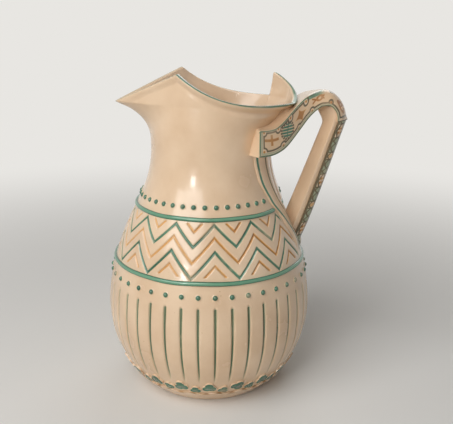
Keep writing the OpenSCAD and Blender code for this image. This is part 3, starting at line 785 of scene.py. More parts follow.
def leaf_model(width):
    """One leaf at the origin, facing Z, with its middle lobe along -X and a dished face."""
    bpy.ops.mesh.primitive_circle_add(vertices=LEAF_POINTS, radius=width / 2, fill_type="NGON")
    leaf = bpy.context.object
    x, y, z = points_of(leaf)
    place_points(leaf, x * leaf_lobes(x, y), y * leaf_lobes(x, y), z - LEAF_SUNK)
    bpy.ops.object.mode_set(mode="EDIT")
    bpy.ops.mesh.select_all(action="SELECT")
    bpy.ops.mesh.extrude_region_move(TRANSFORM_OT_translate={"value": (0, 0, LEAF_SUNK + LEAF_T)})
    bpy.ops.mesh.inset(thickness=LEAF_EDGE)
    bpy.ops.mesh.inset(thickness=LEAF_EDGE / 2, depth=-LEAF_DISH)
    bpy.ops.mesh.inset(thickness=LEAF_EDGE)
    bpy.ops.transform.translate(value=(0, 0, LEAF_DISH))
    close_up()
    x, y, z = points_of(leaf)
    inner = leaf_lobes(x, y) * width / 2 - LEAF_PALE_SHARE * LEAF_EDGE
    paint(leaf, "green", (np.hypot(x, y) < inner) * (z > 0))
    return leaf


rng = np.random.default_rng(LEAF_SEED)
large_places, small_places = [], []
for i in range(LEAVES):
    tilt = Matrix.Rotation(math.radians(rng.uniform(-LEAF_TILT, LEAF_TILT)), 4, "Z")
    if i % 2 == 0:
        large_places.append(on_body(360 * i / LEAVES, LEAF_Z) @ tilt)
    else:
        small_places.append(on_body(360 * i / LEAVES, LEAF_Z - LEAF_W / 4) @ tilt)
leaves = join_pieces("garland_leaf_row", [
    copies_on_wall("large_leaves", leaf_model(LEAF_W), large_places),
    copies_on_wall("small_leaves", leaf_model(LEAF_W * SMALL_LEAF), small_places)])
finish_piece(leaves, PAINTED_GLAZE, "green_glaze", "garland_leaves")


def place_vine(u, v):
    """The winding stem: u runs round its section, v once round the jug."""
    angle, turn = math.tau * u, math.tau * v
    z = VINE_Z + VINE_D / 2 * np.sin(VINE_WAVES * turn)
    half = VINE_D / 2 * (1 + VINE_SWELL * np.sin(2 * VINE_WAVES * turn + 1))
    r, high = off_wall(z, VINE_D / 4 + half * np.cos(angle), half * np.sin(angle), VINE_D)
    return polar(r, turn, high)


def paint_vine(u, v):
    """The stem is paler on its upper side and at each bend, and brown elsewhere."""
    thin = (1 + np.sin(math.tau * u) + np.sin(2 * VINE_WAVES * math.tau * v)) / 2
    return {"crest": smooth_step(*VINE_CREST, thin)}


vine = wrap_grid("garland_stem", VINE_SIDES, VINE_WAVES * VINE_WAVE_STEPS, place_vine, paint_vine)
finish_piece(vine, BROWN_GLAZE, "brown_glaze", "garland_vine")

# Handle yoke: two flat arms that grip the neck from both sides and run together in the bend of the
# handle. Pressed in a mould and luted on, with rounded edges and painted ornament on the outer faces.
ARM_EDGE = 0.0011
ARM_END_SLANT = 0.85
ARM_SLANT_RUN = 0.2
ARM_TOP_SLANT = 0.15
ARM_FILLET = 0.006
ARM_DEPTH_STEPS = 120
ARM_ROWS = 350
ARM_PLAN_POINTS, ARM_RUN_POINTS = 80, 1200
ARM_FACE_ROWS, ARM_INWARD_ROWS = 90, 5
# The arm's outline at stations from its free end to the bend: top and under side, each as a share
# of the way from the neck to the handle's reach and of the way up from the arm's lowest point
ARM_SHARES = np.array((
    (-0.155, 0.445, -0.155, 0), (-0.025, 0.44, 0.005, 0.003), (0.065, 0.47, 0.115, 0.05),
    (0.155, 0.565, 0.22, 0.15), (0.325, 0.79, 0.37, 0.38), (0.46, 0.925, 0.50, 0.59),
    (0.62, 0.995, 0.615, 0.72), (0.705, 1, 0.675, 0.745), (0.78, 0.975, 0.73, 0.75),
    (0.84, 0.915, 0.77, 0.725), (0.89, 0.845, 0.80, 0.685), (0.93, 0.76, 0.825, 0.635),
    (0.96, 0.665, 0.835, 0.59), (0.98, 0.565, 0.84, 0.54), (1, 0.495, 0.84, 0.485)))
# The lower and the upper edge of the arm's outer face in plan, as distances along X and Y. The upper
# edges of both arms run together on the crest of the bend.
ARM_LOW_EDGE = np.array((
    (0.0293, 0.036), (0.0451, 0.0255), (0.0568, 0.0165), (0.0631, 0.0129), (0.070, 0.0108),
    (0.0778, 0.010), (0.0819, 0.009), (0.0855, 0.0065), (0.088, 0.002)))
ARM_TOP_EDGE = np.array((
    (0.045, 0.0256), (0.0568, 0.0147), (0.0624, 0.0105), (0.0657, 0.006), (0.0689, 0.0025), (0.072, 0.0005)))
handle_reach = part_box("handle_yoke")[1].x
arm_low_z, arm_top_z = (corner.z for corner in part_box("handle_yoke"))


def through(rows, t):
    """A smooth line through rows of values, at the shares t of the way."""
    last_row = len(rows) - 1
    at = np.clip(t, 0, 1) * last_row
    i = np.minimum(at.astype(int), last_row - 1)
    f = (at - i)[:, None]
    before, here, after, beyond = (rows[np.clip(i + k, 0, last_row)] for k in (-1, 0, 1, 2))
    return 0.5 * (2 * here + (after - before) * f + (2 * before - 5 * here + 4 * after - beyond) * f**2
                  + (3 * here - before - 3 * after + beyond) * f**3)


arm_scale = np.array((handle_reach - NECK_R, arm_top_z - arm_low_z) * 2)
arm_lines = np.array((NECK_R, arm_low_z) * 2) + ARM_SHARES * arm_scale
plan_t = np.linspace(0, 1, ARM_PLAN_POINTS)
low_edge, top_edge = through(ARM_LOW_EDGE, plan_t), through(ARM_TOP_EDGE, plan_t)


def arm_half(x, share):
    """Distance of the arm's outer face from the middle plane, at a share of the way up the face."""
    low = np.interp(x, low_edge[:, 0], low_edge[:, 1])
    top = np.minimum(low, np.interp(x, top_edge[:, 0], top_edge[:, 1], left=1))
    return top + (low - top) * np.sqrt(np.clip(1 - share**2, 0, 1))


def neck_half(x, z):
    """Half width of the neck at the middle of its wall, which is where the arms end inside."""
    side, back, _ = mouth_axes(z)
    return (side - WALL / 2) * np.sqrt(np.clip(1 - (x / (back - WALL / 2)) ** 2, 0, 1))


arm_t = np.linspace(0, 1, ARM_RUN_POINTS)
dense = through(arm_lines, arm_t)
middle = np.column_stack(((dense[:, 0] + dense[:, 2]) / 2, (dense[:, 1] + dense[:, 3]) / 2))
middle = np.column_stack((middle, arm_half(middle[:, 0], 0)))
arm_run = np.concatenate(([0], np.cumsum(np.linalg.norm(np.diff(middle, axis=0), axis=1))))
arm_length = float(arm_run[-1])
# The arm's section, point by point: share of its height, edge radii added to the height, share of
# the way from the neck to the outer edge, and edge radii added to that
corner = np.radians(np.linspace(0, 90, CORNER_POINTS))
face = np.sin(np.radians(np.linspace(0, 90, ARM_FACE_ROWS + 1)))[1:]
inwards = np.linspace(1, 0, ARM_INWARD_ROWS + 1)[1:]
arm_section = np.concatenate((
    np.column_stack((0 * inwards, 0 * inwards, inwards[::-1], 0 * inwards)),
    np.column_stack((0 * corner, 1 - np.cos(corner), 0 * corner + 1, np.sin(corner))),
    np.column_stack((face, 1 - 2 * face, 0 * face + 1, 0 * face + 1)),
    np.column_stack((0 * corner + 1, np.cos(corner) - 1, 0 * corner + 1, np.sin(corner)))[-2::-1],
    np.column_stack((0 * inwards + 1, 0 * inwards, inwards, 0 * inwards)),
    np.column_stack((inwards, 0 * inwards, 0 * inwards, 0 * inwards))))


def rows_of(section, u):
    """Rows of a section that the shares u of the way round it fall on."""
    return np.rint(u * (len(section) - 1)).astype(int)


def arm_station(u, v):
    """Section row, station, outline, its height and the rounding of the free end at the shares u, v."""
    row = arm_section[rows_of(arm_section, u)].T
    t = np.interp(v * arm_length, arm_run, arm_t)
    top_x, top_z, low_x, low_z = through(arm_lines, t).T
    tall = np.hypot(top_x - low_x, top_z - low_z)
    from_end = np.minimum(v * arm_length / ARM_EDGE, 1)
    inset = ARM_EDGE * (1 - np.sqrt(1 - (1 - from_end) ** 2))
    return row, t, (top_x, top_z, low_x, low_z), tall, inset


def place_arm(u, v):
    """The near arm: u runs round its section, v from its free end to the bend."""
    (high, edge_up, outward, edge_out), t, (top_x, top_z, low_x, low_z), tall, inset = arm_station(u, v)
    edge = np.minimum(ARM_EDGE, arm_half(top_x, 1) / 4) * high + ARM_EDGE * (1 - high)
    share = (inset + (tall - 2 * inset) * high + edge * edge_up) / tall
    x = low_x + (top_x - low_x) * share
    z = low_z + (top_z - low_z) * share
    half = arm_half(x, share) - inset
    slant = (ARM_END_SLANT + (ARM_TOP_SLANT - ARM_END_SLANT) * share) * smooth_step(ARM_SLANT_RUN, 0, t)
    by_neck = smooth_step(BACK_REACH, BACK_REACH - 2 * WALL, x) * smooth_step(0, ARM_SLANT_RUN, t)
    fillet = ARM_FILLET * (high == 1) * by_neck
    inside = np.zeros_like(u)
    for q in np.linspace(0, 1, ARM_DEPTH_STEPS)[:, None] * half:
        inside = np.where(q <= neck_half(x - slant * (half - q), z + fillet), q, inside)
    q = inside * (1 - outward) + (half - edge) * outward + edge * edge_out
    return x - slant * (half - q), -q, z + fillet * (1 - outward) ** 2


# Shares of a painted line's width from its middle where it starts and is full
BRUSH_EDGE = (0.75, 0.4)


def line_mark(distance, width):
    """A painted line where the distance is within about half its width."""
    return smooth_step(*BRUSH_EDGE, np.abs(distance) / width)


# Sizes of the painted motifs in mm along and up the arm: half lengths and heights, and line widths.
# A tilt or slope is in mm to the mm, and an edge says where the glaze starts and where it is full.
MOTIF_LINE, FINE_LINE, CROSS_LINE, SHIELD_LINE, POD_LINE = 0.9, 0.8, 1.4, 1.03, 0.7
CROSS_HALF = (5.4, 3.3)
CROSS_TILT = 0.1
# The shield stands upright on the sloping arm, so its half width and half height are slanting arrows.
# Its bars are set out in shares of its half height.
SHIELD_ACROSS, SHIELD_UP = (5.25, -2.8), (1.76, 4.0)
SHIELD_HALF = (5.9, 4.5)
SHIELD_STROKES, STROKE_FROM = 17, -0.55
BAR_STEP, MIDDLE_BAR = 0.36, 0.1
BARS_EDGE = (0.95, 0.8)
STEM_DEPTH = 0.7
STAR_HALF = (6, 4.2)
STAR_TILT, STAR_POWER = 0.3, 0.6
STAR_EDGE = (1.15, 0.9)
KNOT_R, KNOT_MIDDLE, KNOT_STRETCH = 1.2, 1, 1.5
KNOT_TAIL, KNOT_CROSSING, KNOT_FORK, KNOT_TIP = -4.3, -1.6, 2.5, 4.2
KNOT_SLOPE = 0.5
POD_HALF = (4.4, 0.8)
POD_END, POD_SEED_END = 4.5, 3.5
POD_SEED_STEP = 2.6
POD_SEED_EDGE = (0.8, 0.5)
DASH_HALF = (1.4, 0.5)
DASH_EDGE = (1.2, 0.8)
DASH_DEPTH = 0.6


def cross_mark(a, b):
    """An upright cross."""
    level = b + CROSS_TILT * a
    beam = line_mark(level, CROSS_LINE) * (np.abs(a) < CROSS_HALF[0])
    return np.maximum(beam, line_mark(a, CROSS_LINE) * (np.abs(level) < CROSS_HALF[1]))


def in_shield(a, b):
    """Places within the shield: across and up it, from -1 to 1."""
    return np.linalg.solve(np.column_stack((SHIELD_ACROSS, SHIELD_UP)), np.array((a, b)))


def bars_mark(a, b):
    """The bars of the shield, with a short stem through them."""
    across, up = in_shield(a, b)
    bars = line_mark(SHIELD_HALF[1] * BAR_STEP * from_nearest(up - MIDDLE_BAR, BAR_STEP), MOTIF_LINE)
    stem = STEM_DEPTH * line_mark(SHIELD_HALF[0] * across, FINE_LINE)
    return smooth_step(*BARS_EDGE, np.hypot(across, up)) * np.maximum(bars, stem)


def shield_mark(a, b):
    """The outline of the shield, broken into short strokes."""
    across, up = in_shield(a, b)
    outline = line_mark((np.hypot(across, up) - 1) * SHIELD_HALF[1], SHIELD_LINE)
    return outline * (np.sin(SHIELD_STROKES * np.arctan2(up, across)) > STROKE_FROM)


def star_mark(a, b):
    """A star with four drawn-out points."""
    along, up = np.abs(a + STAR_TILT * b) / STAR_HALF[0], np.abs(b) / STAR_HALF[1]
    return smooth_step(*STAR_EDGE, along**STAR_POWER + up**STAR_POWER)


def knot_mark(a, b):
    """A loop with two crossing tails and a forked tip."""
    loop = line_mark(np.hypot((a - KNOT_MIDDLE) / KNOT_STRETCH, b) - KNOT_R, MOTIF_LINE)
    tails = line_mark(np.abs(b) - KNOT_SLOPE * np.abs(a - KNOT_CROSSING), MOTIF_LINE)
    tails = tails * (a < 0) * (a > KNOT_TAIL)
    tip = line_mark(np.abs(b) - KNOT_SLOPE * (a - KNOT_FORK), FINE_LINE) * (a > KNOT_FORK) * (a < KNOT_TIP)
    return np.maximum(np.maximum(loop, tails), tip)


def pod_mark(a, b):
    """A long pod with seeds in it."""
    half = POD_HALF[1] * np.cos(np.clip(a / POD_HALF[0], -1, 1) * math.pi / 2)
    pod = line_mark(np.abs(b) - half, POD_LINE) * (np.abs(a) < POD_END)
    seeds = smooth_step(*POD_SEED_EDGE, np.hypot(POD_SEED_STEP * from_nearest(a, POD_SEED_STEP), b))
    return np.maximum(pod, seeds * (np.abs(a) < POD_SEED_END))


def dash_mark(a, b):
    """A short stroke."""
    return DASH_DEPTH * smooth_step(*DASH_EDGE, np.hypot(a / DASH_HALF[0], b / DASH_HALF[1]))


# Places on the arm's face, as shares of its length and of its height there: the round corners that
# are cut out of the panel, each with a dot in it, and the motifs with their glaze
ARM_LOBES = ((0.048, 0.92), (0.048, 0.21), (0.203, 0.92), (0.23, 0.18), (0.352, 0.86), (0.435, 0.14),
             (0.555, 0.84), (0.605, 0.20), (0.787, 0.31))
ARM_MOTIFS = ((0.125, 0.60, "ochre", cross_mark), (0.30, 0.55, "green", bars_mark),
              (0.30, 0.55, "umber", shield_mark), (0.475, 0.53, "ochre", star_mark),
              (0.672, 0.62, "ochre", knot_mark), (0.777, 0.86, "umber", dash_mark),
              (0.888, 0.64, "ochre", pod_mark))
# In mm: the height above which the lines have their full width, distances from the free end and the
# lower edge of the dark and the pale border line, with their depth of green, from the upper edge of
# its dark line and the pale one on the crest, and of the panel's line from all three edges
FULL_HEIGHT = 14
LOW_BORDER = ((0.35, 1.3, 1.0), (1.8, 2.6, 0.35))
TOP_BORDER = (0.0, 0.9)
CREST_BORDER = (0.9, 2.34)
PANEL_GAPS = (3.7, 3.6, 1.7)
# In mm too: the soft edges of the border lines outwards and inwards, the widths of the panel's line and
# the dark line at the bend, which is partly painted shade under the arm's tip, the radius of the cut
# corners, and where the dots in them start and are full
BORDER_FADES = (0.2, 0.1)
PANEL_LINE, BEND_SHADE_LINE = 0.85, 0.5
LOBE_R = 2.3
LOBE_DOT = (1.0, 0.5)
# How deep the glaze is in the pale line on the crest, under the dark border lines and in the panel
CREST_GREEN, BORDER_UMBER, PANEL_WASH = 0.55, 0.2, 0.09
# Shares of the arm's length where the panel's upper line and the panel end and the crest starts
PANEL_TOP_END, PANEL_END = 0.57, 0.965
PANEL_TOP_FADE = 0.01
CREST_START = (0.74, 0.68)
# Share of the depth of the arm's rounded edges at which the paint of its face starts
PAINTED_EDGE = 0.7
MM = 1000


def paint_arm(u, v):
    """The ornament on the arm's outer face, in mm along and up it."""
    (high, edge_up, outward, edge_out), _, _, tall, _ = arm_station(u, v)
    on_face = (outward == 1) * (edge_out > PAINTED_EDGE) * (v > 0)
    along, total = MM * v * arm_length, MM * arm_length
    up, tall = MM * (tall * high + ARM_EDGE * edge_up), MM * tall
    slim = np.minimum(1, tall / FULL_HEIGHT)
    before_crest = smooth_step(*CREST_START, v)
    near_crest = smooth_step(PANEL_TOP_END - PANEL_TOP_FADE, PANEL_TOP_END + PANEL_TOP_FADE, v)
    glaze_amounts = {"green": 0 * u, "ochre": 0 * u, "umber": 0 * u}

    def add(colour, amounts):
        glaze_amounts[colour] = np.maximum(glaze_amounts[colour], amounts * on_face)

    for low, high_edge, depth in LOW_BORDER:
        border = span_mark(np.minimum(up / slim, along), low, high_edge, *BORDER_FADES)
        add("green", depth * border)
        add("umber", BORDER_UMBER * border * (depth == 1))
    border = span_mark(tall - up, *TOP_BORDER, *BORDER_FADES) * before_crest
    add("green", border)
    add("umber", BORDER_UMBER * border)
    crest_border = span_mark(tall - up, *CREST_BORDER, *BORDER_FADES) * before_crest
    add("green", CREST_GREEN * crest_border * near_crest)
    # Dark line at the arm's end in the bend: partly a painted line, partly painted shade under the tip
    add("umber", span_mark(total - along, 0, BEND_SHADE_LINE, *BORDER_FADES))
    end_gap, low_gap, top_gap = PANEL_GAPS
    panel = np.minimum(np.minimum(along - end_gap, PANEL_END * total - along), up - low_gap * slim)
    panel = np.where(v < PANEL_TOP_END, np.minimum(panel, tall - up - top_gap), panel)
    for share, share_up in ARM_LOBES:
        reach = np.hypot(along - share * total, up - share_up * tall)
        panel = np.minimum(panel, reach - LOBE_R * slim)
        add("ochre", smooth_step(*LOBE_DOT, reach))
    add("umber", line_mark(panel, PANEL_LINE))
    add("ochre", PANEL_WASH * (panel > 0))
    for share, share_up, colour, shape in ARM_MOTIFS:
        add(colour, shape(along - share * total, up - share_up * tall))
    return glaze_amounts


yoke = wrap_grid("handle_arms", len(arm_section) - 1, ARM_ROWS, place_arm, paint_arm)
bpy.ops.object.mode_set(mode="EDIT")
bpy.ops.mesh.select_mode(type="FACE")
bpy.ops.mesh.select_all(action="DESELECT")
bpy.ops.object.mode_set(mode="OBJECT")
in_middle = np.abs(points_of(yoke)[1]) < MERGE
for polygon in yoke.data.polygons:
    polygon.select = bool(in_middle[list(polygon.vertices)].all())
bpy.ops.object.mode_set(mode="EDIT")
bpy.ops.mesh.delete(type="FACE")
bpy.ops.object.mode_set(mode="OBJECT")
other_arm = yoke.modifiers.new("other_arm", "MIRROR")
other_arm.use_axis = (False, True, False)
other_arm.merge_threshold = MERGE
bpy.ops.object.modifier_apply(modifier=other_arm.name)
bpy.ops.object.mode_set(mode="EDIT")
close_up()
finish_piece(yoke, PAINTED_GLAZE, "cream_glaze", "handle_yoke")

# Handle pillar: the rounded post that the hand closes round, from the bend down to the shoulder.
# It was rolled out of the same clay, is thicker at its foot, and was smoothed into the bend on top.
PILLAR_W = 0.015
PILLAR_T = 0.0084
PILLAR_FOOT_T = 0.0124
BAND_T = 0.0063
PILLAR_FOOT_Z = 0.097
PILLAR_BOW = 0.24
PILLAR_OUT = 0.0012
PILLAR_HEEL = 0.0024
PILLAR_HEEL_Z = 0.0885
HEEL_SOFT = 0.001
PILLAR_SWELL = 0.12
PILLAR_HEAD = 0.009
PILLAR_TOP_SHARE = 0.96
PILLAR_GRID = (96, 100)
BAND_LAP = 0.0003
# Shares of the pillar's height: where it starts in the wall and ends in the bend, where its foot stops
# swelling, and where its head starts to thicken and has done so
PILLAR_START, PILLAR_STOP = -0.05, 1.11
FOOT_END = 0.3
HEAD_START, HEAD_END = 0.96, 1.14
# Half of the pillar's section, from the middle of its back to the middle of its inner side, as shares
# of its thickness and half width: a ridge a third of the way in, and a flat that slopes away from it
PILLAR_SHARES = np.array((
    (0, 0), (0, 0.5), (0.02, 0.88), (0.16, 0.97), (0.33, 1), (0.41, 0.93), (0.6, 0.7), (0.8, 0.42),
    (0.96, 0.2), (1, 0)))
pillar_top_x = NECK_R + (handle_reach - NECK_R) * PILLAR_TOP_SHARE
pillar_top_z = arm_low_z + (arm_top_z - arm_low_z) * float(ARM_SHARES[-1, 1])


def pillar_place(t, inset, y):
    """Points of the pillar at shares t of its height, inset from its outer edge and out of the wall."""
    foot_x = float(body_r(PILLAR_FOOT_Z))
    bow = BAND_T * PILLAR_BOW * np.sin(math.pi * np.sqrt(np.clip(t, 0, 1)))
    z = PILLAR_FOOT_Z + (pillar_top_z - PILLAR_FOOT_Z) * t
    edge = foot_x + (pillar_top_x - foot_x) * t + bow + PILLAR_OUT
    heel = body_r(z) - WALL / 8 + (PILLAR_HEEL + WALL / 8) * smooth_step(PILLAR_HEEL_Z, PILLAR_FOOT_Z, z)
    x = (edge + heel + np.hypot(edge - heel, HEEL_SOFT)) / 2 - inset
    r = np.hypot(x, y)
    wall_r = np.maximum(r, body_r(z) - WALL / 2)
    return x * wall_r / r, y * wall_r / r, z


def place_pillar(u, v):
    """The pillar: u runs round its section, v up from the wall into the bend."""
    t = PILLAR_START + (PILLAR_STOP - PILLAR_START) * v
    swell = 1 + PILLAR_SWELL * smooth_step(FOOT_END, 0, t)
    head = PILLAR_HEAD * smooth_step(HEAD_START, HEAD_END, t)
    thick = PILLAR_FOOT_T + (PILLAR_T - PILLAR_FOOT_T) * t + head
    deep, across = through(PILLAR_SHARES, 1 - np.abs(2 * u - 1)).T
    y = PILLAR_W / 2 * swell * across * np.sign(0.5 - u)
    return pillar_place(t, BAND_T - BAND_LAP + thick * deep, y)


pillar = wrap_grid("handle_post", *PILLAR_GRID, place_pillar)
finish_piece(pillar, CREAM_GLAZE, "cream_glaze", "handle_pillar")

# Pillar band: a strip of clay with a rounded back along the outside of the pillar.
# A chain of long and short brown lozenges with olive plaits between is painted down both its sides.
BAND_ROWS = 260
BAND_OVERHANG = 0.7
# In mm: the pitch of the chain's links, the distance of its middle from the band's crown and of its
# first link from the top, half lengths of a long and a short lozenge, half widths of the lozenges, the
# plaits, the chain and its edge lines, and the seeds' pitch, distance from the middle and farthest place
BAND_LINK, BAND_CHAIN, BAND_FIRST = 17, 8.4, 6.5
LONG_HALF, SHORT_HALF = 4.6, 2.4
LOZENGE_HALF, PLAIT_HALF, CHAIN_HALF, EDGE_HALF = 2.6, 2.3, 3.0, 3.1
SEED_PITCH, SEED_OFF, SEED_END = 2.8, 1.1, 3
# In mm too: widths of the lines, and where the other marks start and are full
LOZENGE_LINE, PLAIT_LINE, BAR_LINE, EDGE_LINE = 0.8, 1.0, 0.7, 0.6
SEED_EDGE, KNOB_EDGE, SEAM_EDGE, CROWN_EDGE = (1.1, 0.7), (1.6, 1.0), (1.1, 0.6), (0.9, 0.5)
WASH_START, WASH_FULL = -0.2, 0.4
# How deep the glazes are where they are thinner than in the lozenges
WASH_GREEN, KNOB_OCHRE, EDGE_GREEN, PLAIT_GREEN, PLAIT_UMBER = 0.4, 0.4, 0.8, 0.6, 0.8
BAND_ARC_POINTS, BAND_BACK_POINTS = 73, 9
band_arc = np.radians(np.linspace(-90, 90, BAND_ARC_POINTS))
band_back = np.linspace(1, -1, BAND_BACK_POINTS)[1:]
band_section = np.concatenate((
    np.column_stack((1 - np.cos(band_arc), np.sin(band_arc))),
    np.column_stack((0 * band_back + 1, band_back))))
band_steps = np.hypot(*(np.diff(band_section, axis=0) * (BAND_T, BAND_W / 2)).T)
band_run = np.concatenate(([0], np.cumsum(band_steps)))
band_crown = float(band_run[len(band_arc) // 2])
band_length = math.hypot(pillar_top_x - float(body_r(PILLAR_FOOT_Z)), pillar_top_z - PILLAR_FOOT_Z)
band_heel = (PILLAR_FOOT_Z - PILLAR_HEEL_Z) / (pillar_top_z - PILLAR_FOOT_Z)


def place_band(u, v):
    """The band: u runs round its section, v up from the wall to the bend."""
    deep, across = band_section[rows_of(band_section, u)].T
    return pillar_place(v - band_heel * (1 - v), BAND_T * deep, BAND_W / 2 * across)


def paint_band(u, v):
    """The chain on the band's two sides, in mm along it and from the middle of each side."""
    row = rows_of(band_section, u)
    shown = row < len(band_arc)
    from_crown = MM * np.abs(band_run[row] - band_crown)
    across = np.abs(from_crown - BAND_CHAIN)
    along = MM * band_length * (1 + band_heel) * (1 - v) - BAND_FIRST
    link = BAND_LINK * from_nearest(along, BAND_LINK)
    far = np.abs(link)
    long_link = np.round(along / BAND_LINK) % 2 == 0
    reach = np.where(long_link, LONG_HALF, SHORT_HALF)
    inside = smooth_step(CHAIN_HALF, LOZENGE_HALF, across)
    lozenge_edge = LOZENGE_HALF * np.sqrt(np.clip(1 - far / reach, 0, 1))
    lozenge = line_mark(across - lozenge_edge, LOZENGE_LINE) * (far < reach)
    seed_gap = np.hypot(SEED_PITCH * from_nearest(link + SEED_PITCH / 2, SEED_PITCH), across - SEED_OFF)
    seeds = smooth_step(*SEED_EDGE, seed_gap) * (far < SEED_END) * long_link
    strands = PLAIT_HALF * np.abs(np.sin(math.pi * (far - reach) / (BAND_LINK / 2 - reach)))
    plait = line_mark(across - strands, PLAIT_LINE) * (far > reach)
    wash = WASH_GREEN * smooth_step(WASH_START, WASH_FULL, far - reach) * inside
    knob = KNOB_OCHRE * smooth_step(*KNOB_EDGE, far) * inside * ~long_link
    bars = line_mark(far - reach, BAR_LINE) * inside
    seam = smooth_step(*SEAM_EDGE, MM * band_crown - from_crown)
    crown_line = smooth_step(*CROWN_EDGE, from_crown)
    edges = np.maximum(EDGE_GREEN * line_mark(across - EDGE_HALF, EDGE_LINE), crown_line)
    overhang = ~shown * (np.abs(band_section[row, 1]) > BAND_OVERHANG)
    umber = np.maximum(np.maximum(lozenge, PLAIT_UMBER * plait), np.maximum(bars, seam))
    green = np.maximum(np.maximum(edges, wash), PLAIT_GREEN * plait)
    return {"green": green * shown, "ochre": np.maximum(seeds, knob) * shown,
            "umber": umber * shown + overhang}


band = wrap_grid("handle_strip", len(band_section) - 1, BAND_ROWS, place_band, paint_band)
finish_piece(band, PAINTED_GLAZE, "cream_glaze", "pillar_band")

# Straps: two low ribs of clay that run from under the arms down the neck and the shoulder to the
# foot of the pillar and tie the handle to the wall. Each has two incised green lines.
STRAP_T = 0.003
STRAP_ARCH = 0.4
STRAP_TOP_SHARE = 0.8
STRAP_LINE = 0.0008
STRAP_GRID = (100, 130)
# At equal steps down a strap: its two lines, as shares of the way across from its inner edge
STRAP_LINES = np.array((
    (0.57, 0.92), (0.55, 0.91), (0.53, 0.925), (0.42, 0.86), (0.14, 0.62), (0.3, 0.5)))
STRAP_TAIL = 0.008
# Shares of the way up a strap where it rises out of the wall and has its full height
STRAP_RISE = (-0.02, 0.15)
STRAP_LINE_DEPTH = 0.00025
STRAP_UMBER = 0.6


def strap_spot(u, v):
    """Height, share across and share down of a strap's points."""
    z = strap_low_z - STRAP_TAIL + (strap_top_z - strap_low_z + STRAP_TAIL) * v
    over = u <= STRAP_TOP_SHARE
    across = np.where(over, u / STRAP_TOP_SHARE, (1 - u) / (1 - STRAP_TOP_SHARE))
    return z, across, over


def strap_marks(u, v):
    """How much of the inner and of the outer incised line lies on each point."""
    z, across, over = strap_spot(u, v)
    first, last = strap_edges(z)
    width = (last - first) * body_r(z)
    inner_line, outer_line = through(STRAP_LINES, 1 - v).T
    return [smooth_step(STRAP_LINE, STRAP_LINE / 2, np.abs(across - line) * width) * over
            for line in (inner_line, outer_line)]


def strap_paints(u, v):
    """Both lines are green, and the inner one is the darker."""
    inner_mark, outer_mark = strap_marks(u, v)
    return {"green": np.maximum(inner_mark, outer_mark), "umber": STRAP_UMBER * inner_mark}


def strap_model(name, side):
    """One strap, on the side of -Y or +Y."""
    def place(u, v):
        z, across, over = strap_spot(u, v)
        first, last = strap_edges(z)
        turn = first + (last - first) * across
        narrow = ((last - first) * body_r(z) - STRAP_FOOT_W) / (STRAP_W - STRAP_FOOT_W)
        tall = STRAP_T / 2 * (1 + narrow) * smooth_step(*STRAP_RISE, v)
        lift = tall * np.clip(np.sin(math.pi * across), 0, 1) ** STRAP_ARCH
        lift = lift - STRAP_LINE_DEPTH * np.maximum(*strap_marks(u, v))
        r = body_r(z) + np.where(over, lift, -WALL / 4 * np.sin(math.pi * across))
        x, y, _ = polar(r, turn, z)
        return x, side * y, z

    return wrap_grid(name, *STRAP_GRID, place, strap_paints)


finish_piece(strap_model("near_strap", -1), PAINTED_GLAZE, "cream_glaze", "right_strap")
finish_piece(strap_model("far_strap", 1), PAINTED_GLAZE, "cream_glaze", "left_strap")

# Floor, light and camera: a pale floor that fades into a pale backdrop, a broad lamp from the upper
# left, a small one below it that makes the streak of light on the neck, and weaker ones from the right
# and behind. The camera stands where the photograph was taken.
FLOOR_SIZE = 12
FLOOR_NEAR, FLOOR_FAR = 0.2, 0.75
FLOOR_ROUGH = 0.9
BACKDROP = srgb(232, 230, 226)
CAMERA_PLACE = (0, -0.434, 0.2386)
CAMERA_AIM, CAMERA_DIP, CAMERA_ROLL = -0.026, 0.279, 0.007
CAMERA_LENS = 54.43
LAMP_AIM = (0, 0, 0.1)
# Name, place, size and power of each lamp
LAMPS = (("key", (-0.54, -0.72, 0.9), 1.0, 11.0), ("window", (-0.48, -0.86, 0.34), 0.14, 1.2),
         ("fill", (0.9, -0.7, 0.4), 0.8, 0.3), ("back", (0.3, 1.0, 0.9), 0.8, 3.0))
WORLD_LIGHT = 0.17


def seen_directly(tree):
    """1 where a surface is seen, also in a reflection or through something, and 0 where it only lights."""
    path = tree.nodes.new("ShaderNodeLightPath")
    seen = path.outputs["Is Camera Ray"]
    for other in ("Is Glossy Ray", "Is Transmission Ray"):
        seen = combined(tree, "MAXIMUM", seen, path.outputs[other])
    return seen


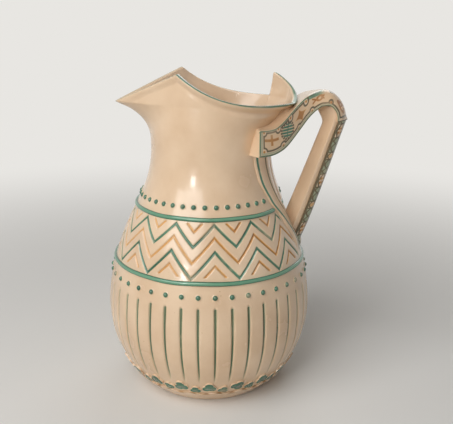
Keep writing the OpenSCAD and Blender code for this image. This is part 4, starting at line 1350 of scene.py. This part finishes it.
bpy.ops.mesh.primitive_plane_add(size=FLOOR_SIZE)
floor = bpy.context.object
floor.name = "floor"
floor_paint = bpy.data.materials.new("floor_paint")
floor_paint.use_nodes = True
tree = floor_paint.node_tree
paint_shader = tree.nodes["Principled BSDF"]
paint_shader.inputs["Base Color"].default_value = BACKDROP
paint_shader.inputs["Roughness"].default_value = FLOOR_ROUGH
floor_place = tree.nodes.new("ShaderNodeTexCoord")
from_jug = tree.nodes.new("ShaderNodeVectorMath")
from_jug.operation = "LENGTH"
tree.links.new(floor_place.outputs["Object"], from_jug.inputs[0])
fade = ranged(tree, from_jug.outputs["Value"], FLOOR_NEAR, FLOOR_FAR)
fade.node.interpolation_type = "SMOOTHSTEP"
glow = tree.nodes.new("ShaderNodeEmission")
glow.inputs["Color"].default_value = BACKDROP
faded = tree.nodes.new("ShaderNodeMixShader")
tree.links.new(combined(tree, "MULTIPLY", fade, seen_directly(tree)), faded.inputs["Fac"])
tree.links.new(paint_shader.outputs["BSDF"], faded.inputs[1])
tree.links.new(glow.outputs["Emission"], faded.inputs[2])
tree.links.new(faded.outputs["Shader"], tree.nodes["Material Output"].inputs["Surface"])
floor.data.materials.append(floor_paint)

world = bpy.data.worlds.new("backdrop")
world.use_nodes = True
tree = world.node_tree
background = tree.nodes["Background"]
background.inputs["Color"].default_value = BACKDROP
strength = ranged(tree, seen_directly(tree), to_min=WORLD_LIGHT)
tree.links.new(strength, background.inputs["Strength"])
bpy.context.scene.world = world

for name, place, size, power in LAMPS:
    lamp_data = bpy.data.lights.new(name, "AREA")
    lamp_data.size = size
    lamp_data.energy = power
    lamp = bpy.data.objects.new(name, lamp_data)
    lamp.location = place
    lamp.rotation_euler = (Vector(LAMP_AIM) - Vector(place)).to_track_quat("-Z", "Y").to_euler()
    bpy.context.scene.collection.objects.link(lamp)

camera_data = bpy.data.cameras.new("camera")
camera_data.lens = CAMERA_LENS
camera = bpy.data.objects.new("camera", camera_data)
camera.matrix_world = (Matrix.Translation(CAMERA_PLACE) @ Matrix.Rotation(CAMERA_AIM, 4, "Z")
                       @ Matrix.Rotation(math.pi / 2 - CAMERA_DIP, 4, "X")
                       @ Matrix.Rotation(CAMERA_ROLL, 4, "Z"))
bpy.context.scene.collection.objects.link(camera)
bpy.context.scene.camera = camera
bpy.context.scene.view_settings.view_transform = "Standard"
